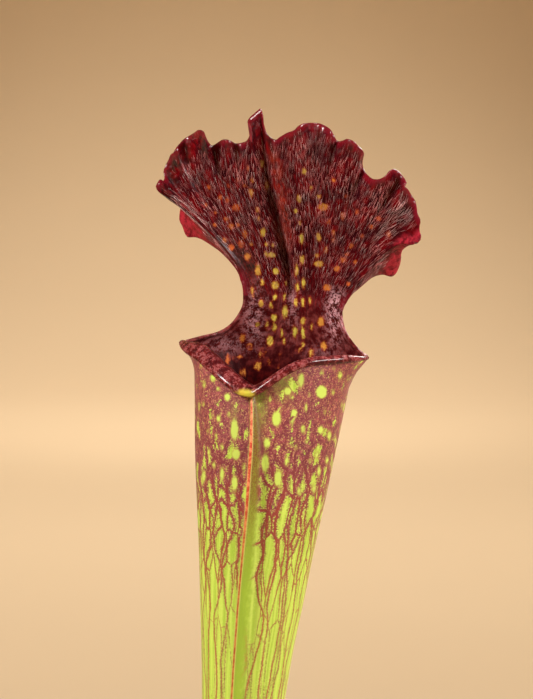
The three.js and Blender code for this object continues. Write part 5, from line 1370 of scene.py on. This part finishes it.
def stub(name, node, base, tip, r, seed):
    """The fibrous stump of an old leaf: a thin open shell with a torn edge."""
    rng = np.random.default_rng(seed)
    n, m = 26, 48
    b, t = np.array(base, float), np.array(tip, float)
    f = np.linspace(0, 1, n + 1)
    ph = 2 * math.pi * np.arange(m) / m
    tear = 0.16 * (0.5 + 0.5 * vnoise(np.stack([np.cos(ph) * 2.6, np.sin(ph) * 2.6, np.full(m, seed)], -1), 3)) + rng.uniform(0, 0.035, m)
    ax = (t - b) / np.linalg.norm(t - b)
    a = np.cross(ax, [0, 0, 1.0])
    a /= np.linalg.norm(a)
    c = np.cross(ax, a)
    L = np.linalg.norm(t - b)
    wob = 1 + 0.1 * np.sin(3 * ph + seed) + 0.05 * vnoise(np.stack([np.cos(ph) * 5, np.sin(ph) * 5, np.full(m, 2.0)], -1), 8)
    rows = []
    for fi in f:
        rr = r * (1.15 - 0.27 * fi) * wob * (1 + 0.02 * np.sin(fi * 40 + ph * 2))
        h = fi * (1 - tear * fi**3) * L
        rows.append(b + h[:, None] * ax + (rr * np.cos(ph))[:, None] * a + (rr * np.sin(ph))[:, None] * c)
    for g_, rs, dz in ((0, 0.9, 0.0), (1, 0.8, -0.05), (2, 0.72, -0.2), (3, 0.55, -0.34), (4, 0.25, -0.38)):
        rr = r * 0.88 * wob * rs
        h = (1 - tear * (1 - g_ / 4)) * L + dz * L
        rows.append(b + h[:, None] * ax + (rr * np.cos(ph))[:, None] * a + (rr * np.sin(ph))[:, None] * c)
    rings = np.array(rows)
    u = np.tile((np.abs(ph / math.pi - 1))[None, :] * 2, (len(rows), 1))
    v = np.tile(np.r_[f, [1, 0.9, 0.6, 0.3, 0.2]][:, None], (1, m))
    return loft_piece(name, rings, [dry_mat], dict(u=u, v=v), [node])


stub("old_leaf_base_1", "leaf_base_1", [9.6, 4.2, 67.2], [13, 6.2, 79], 2.1, 3)
stub("old_leaf_base_2", "leaf_base_2", [7.6, -6.6, 67.0], [10.4, -9.4, 76], 1.9, 6)


def rhizome_material():
    m, nt, b = new_mat("rhizome_skin")
    g = G(nt)
    M = g.math
    c = g.coord()
    n1, n2 = g.noise(c, 260.0, 5, 0.6), g.noise(c, 1500.0, 3)
    rings = g.noise(vmul(g, c, (220.0, 220.0, 900.0)), 1.0, 3)
    base = g.mix(g.range(n1, 0.3, 0.7), srgb(62, 38, 26), srgb(128, 86, 56))
    base = g.mix(g.range(rings, 0.5, 0.66, 0.0, 0.6), base, srgb(148, 60, 50))
    base = g.mix(g.range(n2, 0.55, 0.7, 0.0, 0.5), base, srgb(40, 26, 18))
    g.put(b.inputs["Base Color"], base)
    g.put(b.inputs["Roughness"], g.range(n2, 0.3, 0.7, 0.65, 0.9))
    g.put(b.inputs["Normal"], g.bump(M("ADD", n1, M("MULTIPLY", rings, 0.5)), 0.8, 0.0008))
    return m


def tube_mesh(path, radii, m=12, first=(0.3, 1, 0.1), sub=4):
    path = np.array(path, float)
    k = np.linspace(0, len(path) - 1, (len(path) - 1) * sub + 1)
    P = curve(np.c_[np.arange(len(path)), path])(k)
    R = np.interp(k, np.arange(len(path)), radii)
    t, A, B = frames(P, first)
    ph = 2 * math.pi * np.arange(m) / m
    rings = P[:, None] + (R[:, None] * np.cos(ph))[..., None] * A[:, None] + (R[:, None] * np.sin(ph))[..., None] * B[:, None]
    n = len(P)
    V = np.vstack([rings.reshape(-1, 3), P[:1], P[-1:]])
    F = []
    for i in range(n - 1):
        for j in range(m):
            a, b = i * m + j, i * m + (j + 1) % m
            F.append([a, b, b + m, a + m])
    for j in range(m):
        F.append([n * m, (j + 1) % m, j])
        F.append([n * m + 1, (n - 1) * m + j, (n - 1) * m + (j + 1) % m])
    return V, F


def rhizome():
    """The crown that the leaves grow from, its creeping stem and the main roots."""
    parts = []
    nu, nv = 72, 44
    V, F = [], []
    for i in range(1, nv):
        el = math.pi * i / nv
        for j in range(nu):
            az = 2 * math.pi * j / nu
            V.append([math.sin(el) * math.cos(az), math.sin(el) * math.sin(az), math.cos(el)])
    V = np.array(V)
    nrm = V.copy()
    bump = 0.5 * vnoise(V * 4.5, 12) + 0.28 * vnoise(V * 11, 13)
    scale = 0.28 * np.sin(V[:, 2] * 20 + 2.2 * vnoise(V * 3, 14))
    C = np.array([-4, 1, 61.7]) + V * np.array([20, 14.5, 8.6]) * 0.965 + nrm * (bump + scale)[:, None] * 0.8
    base = 0
    for i in range(nv - 2):
        for j in range(nu):
            a, b = i * nu + j, i * nu + (j + 1) % nu
            F.append([a, a + nu, b + nu, b])
    top, bot = len(C), len(C) + 1
    C = np.vstack([C, C[:nu].mean(0), C[-nu:].mean(0)])
    for j in range(nu):
        F.append([top, j, (j + 1) % nu])
        F.append([bot, (nv - 2) * nu + (j + 1) % nu, (nv - 2) * nu + j])
    parts.append((C, F))
    parts.append(tube_mesh([[6, 2, 60], [14, 3, 57.5], [21, 4.5, 55.5], [27, 6, 54.5]], [7.4, 7.0, 6.4, 3.6], 24, (0, 0, 1), 8))
    for path in (
        [[-14, -2, 57], [-20, -5, 44], [-23, -9, 30], [-20, -14, 17]], [[-6, 6, 55], [-8, 12, 42], [-4, 17, 28], [-6, 20, 14]],
        [[2, -6, 56], [5, -12, 43], [9, -14, 29], [7, -19, 15]], [[10, 2, 54], [15, 4, 42], [20, 3, 30], [21, 8, 18]],
        [[18, 4, 52], [24, 9, 43], [26, 14, 33], [22, 20, 24]],
    ):
        parts.append(tube_mesh(path, [1.5, 1.25, 1.0, 0.55], 10, (1, 0.2, 0), 6))
    VV, FF = [], []
    for v, f in parts:
        FF += [[i + base for i in q] for q in f]
        VV.append(v)
        base += len(v)
    return mesh_piece("rhizome_and_roots", np.vstack(VV), FF, [rhizome_material()], None, {}, ["rhizome"])


rhizome()


# ------------------------------------------------------------------ soil
def soil_top(x, y):
    r = np.hypot(x, y)
    d = np.hypot((x + 4) / 26, (y - 1) / 20)
    return 70 - 2.6 * np.exp(-(d**4)) + 0.5 * np.sin(x * 0.23 + 1.1) * np.cos(y * 0.27 - 0.4) + 0.3 * np.sin(r * 0.4)


def soil_relief(x, y):
    p = np.stack([np.asarray(x, float), np.asarray(y, float), np.zeros_like(x, dtype=float)], -1)
    lump = 0.55 * fbm(p / 4.2, 3, 50) + 0.34 * np.abs(fbm(p / 1.5, 2, 60))
    return soil_top(x, y) + lump - 0.35


def soil_materials():
    m, nt, b = new_mat("peat")
    g = G(nt)
    M = g.math
    c = g.coord()
    n1, n2, n3 = g.noise(c, 320.0, 5, 0.7), g.noise(c, 2200.0, 4, 0.7), g.noise(vmul(g, c, (500.0, 2600.0, 900.0)), 1.0, 4, 0.7)
    base = g.mix(g.range(n1, 0.32, 0.68), srgb(34, 23, 17), srgb(84, 58, 40))
    base = g.mix(g.range(n2, 0.55, 0.72, 0.0, 0.8), base, srgb(124, 92, 62))
    base = g.mix(g.range(n3, 0.6, 0.72, 0.0, 0.7), base, srgb(20, 14, 11))
    g.put(b.inputs["Base Color"], base)
    g.put(b.inputs["Roughness"], g.range(n1, 0.3, 0.7, 0.8, 0.97))
    b.inputs["Specular IOR Level"].default_value = 0.25
    g.put(b.inputs["Normal"], g.bump(M("ADD", n1, M("ADD", M("MULTIPLY", n2, 0.6), M("MULTIPLY", n3, 0.5))), 1.0, 0.0009))
    m2, nt, b = new_mat("perlite")
    g = G(nt)
    c = g.coord()
    n = g.noise(c, 1800.0, 3)
    g.put(b.inputs["Base Color"], g.mix(g.range(n, 0.35, 0.65), srgb(190, 182, 168), srgb(232, 228, 218)))
    g.put(b.inputs["Roughness"], g.range(n, 0.3, 0.7, 0.75, 0.95))
    g.put(b.inputs["Normal"], g.bump(g.voronoi(c, 2600.0), 0.8, 0.0003))
    m3, nt, b = new_mat("bark_fibre")
    g = G(nt)
    c = g.coord()
    n = g.noise(c, 900.0, 4)
    g.put(b.inputs["Base Color"], g.mix(g.range(n, 0.35, 0.65), srgb(70, 44, 28), srgb(142, 100, 64)))
    g.put(b.inputs["Roughness"], g.range(n, 0.3, 0.7, 0.75, 0.95))
    g.put(b.inputs["Normal"], g.bump(n, 0.8, 0.0004))
    return [m, m2, m3]


def soil():
    rng = np.random.default_rng(77)
    seg = 200
    rs = np.r_[np.linspace(0.5, 39.0, 84), 39.15]
    V, F, FM = [], [], []
    ang = 2 * math.pi * np.arange(seg) / seg
    for r in rs:
        x, y = r * np.cos(ang), r * np.sin(ang)
        z = soil_relief(x, y) if r < 39.1 else soil_relief(x, y) - 0.25
        V.append(np.stack([x, y, z], -1))
    inner = lambda z: 29.8 + (z - 3.4) / 60.6 * 9.7
    for z in (62, 48, 30, 12, 2.6):
        r = inner(max(z, 3.4)) - 0.7
        V.append(np.stack([r * np.cos(ang), r * np.sin(ang), np.full(seg, z)], -1))
    n = len(V)
    V = np.vstack(V)
    for i in range(n - 1):
        for j in range(seg):
            a, b = i * seg + j, i * seg + (j + 1) % seg
            F.append([a, a + seg, b + seg, b])
    V = np.vstack([V, [[0, 0, float(soil_relief(np.array([0.0]), np.array([0.0]))[0])], [0, 0, 2.6]]])
    for j in range(seg):
        F.append([n * seg, j, (j + 1) % seg])
        F.append([n * seg + 1, (n - 1) * seg + (j + 1) % seg, (n - 1) * seg + j])
    FM += [0] * len(F)
    verts = [V]
    base = len(V)
    # icosahedron for the grains
    p = (1 + 5**0.5) / 2
    ico = np.array([(-1, p, 0), (1, p, 0), (-1, -p, 0), (1, -p, 0), (0, -1, p), (0, 1, p), (0, -1, -p), (0, 1, -p), (p, 0, -1), (p, 0, 1), (-p, 0, -1), (-p, 0, 1)], float)
    ico /= np.linalg.norm(ico[0])
    it = [(0, 11, 5), (0, 5, 1), (0, 1, 7), (0, 7, 10), (0, 10, 11), (1, 5, 9), (5, 11, 4), (11, 10, 2), (10, 7, 6), (7, 1, 8), (3, 9, 4), (3, 4, 2), (3, 2, 6), (3, 6, 8), (3, 8, 9), (4, 9, 5), (2, 4, 11), (6, 2, 10), (8, 6, 7), (9, 8, 1)]
    # one finer split
    vs, fs, cache = list(ico), [], {}
    def midp(a, b):
        key = (min(a, b), max(a, b))
        if key not in cache:
            q = vs[a] + vs[b]
            vs.append(q / np.linalg.norm(q))
            cache[key] = len(vs) - 1
        return cache[key]
    for a, b, c in it:
        ab, bc, ca = midp(a, b), midp(b, c), midp(c, a)
        fs += [(a, ab, ca), (b, bc, ab), (c, ca, bc), (ab, bc, ca)]
    ball = np.array(vs)
    def grain(x, y, size, flat, mat, stretch=1.0):
        nonlocal base
        q = ball * (1 + 0.28 * vnoise(ball * 1.7 + rng.uniform(0, 90, 3), 5))[:, None]
        a = rng.uniform(0, 2 * math.pi)
        q = q * np.array([size * stretch, size, size * flat])
        tilt = rng.uniform(-0.4, 0.4)
        R1 = np.array([[math.cos(a), -math.sin(a), 0], [math.sin(a), math.cos(a), 0], [0, 0, 1]])
        R2 = np.array([[math.cos(tilt), 0, math.sin(tilt)], [0, 1, 0], [-math.sin(tilt), 0, math.cos(tilt)]])
        q = q @ R2.T @ R1.T
        z = float(soil_relief(np.array([x]), np.array([y]))[0]) + size * flat * 0.35
        verts.append(q + np.array([x, y, z]))
        F.extend([[i + base for i in f] for f in fs])
        FM.extend([mat] * len(fs))
        base += len(q)
    def spot():
        while True:
            r, a = 38.0 * math.sqrt(rng.random()), rng.uniform(0, 2 * math.pi)
            x, y = r * math.cos(a), r * math.sin(a)
            if math.hypot((x + 4) / 19.5, (y - 1) / 14) > 1:
                return x, y
    for _ in range(170):
        x, y = spot()
        grain(x, y, rng.uniform(0.45, 1.25), rng.uniform(0.6, 0.9), 1)
    for _ in range(330):
        x, y = spot()
        grain(x, y, rng.uniform(0.35, 1.0), rng.uniform(0.4, 0.8), 0, rng.uniform(1, 2.2))
    for _ in range(120):
        x, y = spot()
        grain(x * 0.95, y * 0.95, rng.uniform(0.2, 0.42), rng.uniform(0.5, 0.9), 2, rng.uniform(4, 10))
    return mesh_piece("potting_mix", np.vstack(verts), F, soil_materials(), FM, {}, ["soil"])


soil()


# ------------------------------------------------------------------ pot
def pot_material():
    m, nt, b = new_mat("moulded_plastic")
    g = G(nt)
    M = g.math
    c = g.coord()
    n1, n2 = g.noise(c, 60.0, 4), g.noise(c, 5200.0, 2)
    sc = g.noise(vmul(g, c, (160.0, 160.0, 26.0)), 1.0, 5, 0.65)
    sep = g.node("ShaderNodeSeparateXYZ")
    g.put(sep.inputs[0], c)
    z = sep.outputs[2]
    base = g.mix(g.range(n1, 0.35, 0.65), srgb(44, 41, 39), srgb(56, 52, 49))
    dust = M("MULTIPLY", g.range(n1, 0.46, 0.68), g.range(z, 0.05, 0.079, 0.04, 0.3))
    base = g.mix(dust, base, srgb(128, 118, 106))
    base = g.mix(g.range(sc, 0.62, 0.72, 0.0, 0.35), base, srgb(96, 90, 84))
    base = g.mix(g.range(z, 0.0, 0.006, 0.35, 0.0), base, srgb(112, 102, 90))
    g.put(b.inputs["Base Color"], base)
    g.put(b.inputs["Roughness"], M("ADD", g.range(n1, 0.3, 0.7, 0.4, 0.55), M("MULTIPLY", dust, 0.4)))
    g.put(b.inputs["Normal"], g.bump(M("ADD", n2, M("MULTIPLY", sc, 0.4)), 0.35, 0.00008))
    return m


def rounded(points, radius, steps=4):
    """Profile with its inner corners rounded; radius per corner."""
    out = [points[0]]
    for i in range(1, len(points) - 1):
        p, a, b = (np.array(points[k], float) for k in (i, i - 1, i + 1))
        r = radius[i]
        if r <= 0:
            out.append(tuple(p))
            continue
        da, db = a - p, b - p
        la, lb = np.linalg.norm(da), np.linalg.norm(db)
        r = min(r, 0.45 * la, 0.45 * lb)
        s, e = p + da / la * r, p + db / lb * r
        for k in range(steps + 1):
            t = k / steps
            out.append(tuple((1 - t) ** 2 * s + 2 * t * (1 - t) * p + t * t * e))
    out.append(points[-1])
    return out


def pot():
    pts = [(0, 0), (29.8, 0), (31, 1.2), (41.2, 66), (43.6, 66.8), (44.6, 79), (43.9, 80), (43, 80), (42.4, 79.2), (41, 69), (39.5, 64), (29.8, 3.4), (28.5, 2.2), (0, 2.2)]
    prof = rounded(pts, [0, 0.8, 0.8, 0.9, 0.6, 0.7, 0.45, 0.4, 0.5, 2.0, 2.0, 1.0, 1.0, 0])
    seg = 192
    ang = 2 * math.pi * np.arange(seg) / seg
    V = [np.array([[0, 0, prof[0][1]]])]
    for r, z in prof[1:-1]:
        V.append(np.stack([r * np.cos(ang), r * np.sin(ang), np.full(seg, z)], -1))
    V.append(np.array([[0, 0, prof[-1][1]]]))
    V = np.vstack(V)
    F = [[0, 1 + (j + 1) % seg, 1 + j] for j in range(seg)]
    n = len(prof) - 2
    for i in range(n - 1):
        for j in range(seg):
            a, b = 1 + i * seg + j, 1 + i * seg + (j + 1) % seg
            F.append([a, b, b + seg, a + seg])
    last = 1 + n * seg
    F += [[last, 1 + (n - 1) * seg + j, 1 + (n - 1) * seg + (j + 1) % seg] for j in range(seg)]
    me = bpy.data.meshes.new("pot_body")
    me.from_pydata((V * MM).tolist(), [], F)
    ob = bpy.data.objects.new("pot_body", me)
    bpy.context.scene.collection.objects.link(ob)
    cutters = []
    for i in range(4):
        a = 2 * math.pi * (i + 0.5) / 4
        cx, cy = 20 * math.cos(a), 20 * math.sin(a)
        k = 40
        p = [[cx + 3.2 * math.cos(2 * math.pi * j / k), cy + 3.2 * math.sin(2 * math.pi * j / k), z] for z in (-4, 6) for j in range(k)]
        f = [list(range(k))[::-1], list(range(k, 2 * k))] + [[j, (j + 1) % k, k + (j + 1) % k, k + j] for j in range(k)]
        cm = bpy.data.meshes.new("cut")
        cm.from_pydata((np.array(p) * MM).tolist(), [], f)
        cut = bpy.data.objects.new("cut", cm)
        bpy.context.scene.collection.objects.link(cut)
        md = ob.modifiers.new("hole", "BOOLEAN")
        md.operation = "DIFFERENCE"
        md.solver = "EXACT"
        md.object = cut
        cutters.append(cut)
    dg = bpy.context.evaluated_depsgraph_get()
    new = bpy.data.meshes.new_from_object(ob.evaluated_get(dg))
    ob.modifiers.clear()
    ob.data = new
    for cut in cutters:
        bpy.data.objects.remove(cut)
    new.materials.clear()
    new.materials.append(pot_material())
    new.polygons.foreach_set("material_index", np.zeros(len(new.polygons), np.int32))
    new.polygons.foreach_set("use_smooth", np.full(len(new.polygons), True))
    new.set_sharp_from_angle(angle=math.radians(38))
    ob.name = "grow_pot"
    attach(ob, "root")
    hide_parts("pot")
    return ob


pot()


# ------------------------------------------------------------------ stage, light, camera
def stage_piece():
    prof = [(0.0, 0.0), (0.4, 0.0), (0.9, 0.0), (1.4, 0.0), (1.88, 0.0)]
    for i in range(1, 31):
        a = math.pi / 2 * i / 30
        prof.append((1.88 + 0.46 * math.sin(a), 0.46 - 0.46 * math.cos(a)))
    prof.append((2.34, 2.6))
    n = 96
    verts, faces = [(0, 0, 0)], []
    for r, z in prof[1:]:
        for j in range(n):
            a = 2 * math.pi * j / n
            verts.append((r * math.cos(a), r * math.sin(a), z - 0.0002))
    for j in range(n):
        faces.append([0, 1 + j, 1 + (j + 1) % n])
    for i in range(len(prof) - 2):
        for j in range(n):
            a, b = 1 + i * n + j, 1 + i * n + (j + 1) % n
            faces.append([a, a + n, b + n, b])
    me = bpy.data.meshes.new("studio_floor")
    me.from_pydata(verts, [], faces)
    me.polygons.foreach_set("use_smooth", np.full(len(me.polygons), True))
    m, nt, b = new_mat("studio_paper")
    g = G(nt)
    c = g.coord()
    n1 = g.noise(c, 3.0, 3)
    # paper darker within about 0.25 m of the centre and lighter beyond 0.85 m: painted shade where the lamps light the
    # floor most
    far = g.range(vop(g, "LENGTH", vmul(g, c, (1.0, 1.0, 0.0)), out=1), 0.25, 0.85)
    g.put(b.inputs["Base Color"], g.mix(far, g.mix(n1, STAGE_SHADE_C, STAGE_SHADE_D), g.mix(n1, STAGE_A, STAGE_B)))
    b.inputs["Roughness"].default_value = 0.9
    g.put(b.inputs["Normal"], g.bump(g.noise(c, 900.0, 2), 0.05, 0.0004))
    me.materials.append(m)
    ob = bpy.data.objects.new("studio_floor", me)
    bpy.context.scene.collection.objects.link(ob)
    return ob


STAGE_A, STAGE_B = srgb(226, 198, 158), srgb(232, 204, 164)
# darker paper for the floor near the centre: painted shade
STAGE_SHADE_C, STAGE_SHADE_D = srgb(178, 156, 128), srgb(184, 162, 134)
stage_piece()


def area(name, loc, target, size, power, color):
    d = bpy.data.lights.new(name, "AREA")
    d.shape = "DISK"
    d.spread = math.radians(110.0)
    d.size = size
    d.energy = power
    d.color = color
    ob = bpy.data.objects.new(name, d)
    ob.location = loc
    ob.rotation_euler = (Vector(target) - Vector(loc)).to_track_quat("-Z", "Y").to_euler()
    ob.visible_camera = False
    bpy.context.scene.collection.objects.link(ob)
    return ob


def pool(name, loc, target, half, power, color, soft):
    """A soft-edged round pool of light on the backdrop."""
    d = bpy.data.lights.new(name, "SPOT")
    d.spot_size = math.radians(2 * half)
    d.spot_blend = 1.0
    d.energy = power
    d.color = color
    d.shadow_soft_size = soft
    ob = bpy.data.objects.new(name, d)
    ob.location = loc
    ob.rotation_euler = (Vector(target) - Vector(loc)).to_track_quat("-Z", "Y").to_euler()
    bpy.context.scene.collection.objects.link(ob)
    return ob


area("key_light", (-0.62, -0.5, 0.72), (0, 0, 0.22), 0.26, 4.5, (1.0, 0.975, 0.94))
area("fill_light", (0.75, -0.42, 0.5), (0, 0, 0.22), 0.34, 3.95, (1.0, 0.965, 0.93))
area("rim_light", (0.42, 0.5, 0.62), (0, 0, 0.24), 0.3, 2.05, (1.0, 0.96, 0.92))
pool("pool_far", (-0.04, 1.95, 2.0), (-0.04, 1.95, 0.0), 17.0, 100.0, (1.0, 0.975, 0.93), 0.12)
pool("pool_mid", (-0.04, 1.45, 2.0), (-0.04, 1.45, 0.0), 20.0, 50.0, (1.0, 0.975, 0.93), 0.12)
pool("pool_near", (-0.04, 1.02, 2.0), (-0.04, 1.02, 0.0), 24.0, 78.0, (1.0, 0.975, 0.93), 0.12)
pool("wall_right", (0.75, -1.0, 2.0), (1.55, -1.75, 0.1), 42.0, 56.0, (1.0, 0.975, 0.93), 0.2)
pool("wall_left", (-1.0, -0.75, 2.0), (-1.95, -1.2, 0.1), 42.0, 56.0, (1.0, 0.975, 0.93), 0.2)
w = bpy.data.worlds.new("studio")
bpy.context.scene.world = w
w.use_nodes = True
w.node_tree.nodes["Background"].inputs[0].default_value = (1.0, 0.95, 0.89, 1)
w.node_tree.nodes["Background"].inputs[1].default_value = 0.26

cam = bpy.data.cameras.new("camera")
cam.sensor_fit = "AUTO"
cam.sensor_width = 36.0
cam.lens = CAM_D / PX / 699 * 36.0
cam.clip_start, cam.clip_end = 0.02, 30.0
co = bpy.data.objects.new("camera", cam)
co.location = Vector(CAM * MM)
co.rotation_euler = (math.radians(90) - CAM_EL, 0, 0)
bpy.context.scene.collection.objects.link(co)
bpy.context.scene.camera = co
bpy.context.scene.view_settings.view_transform = "Standard"
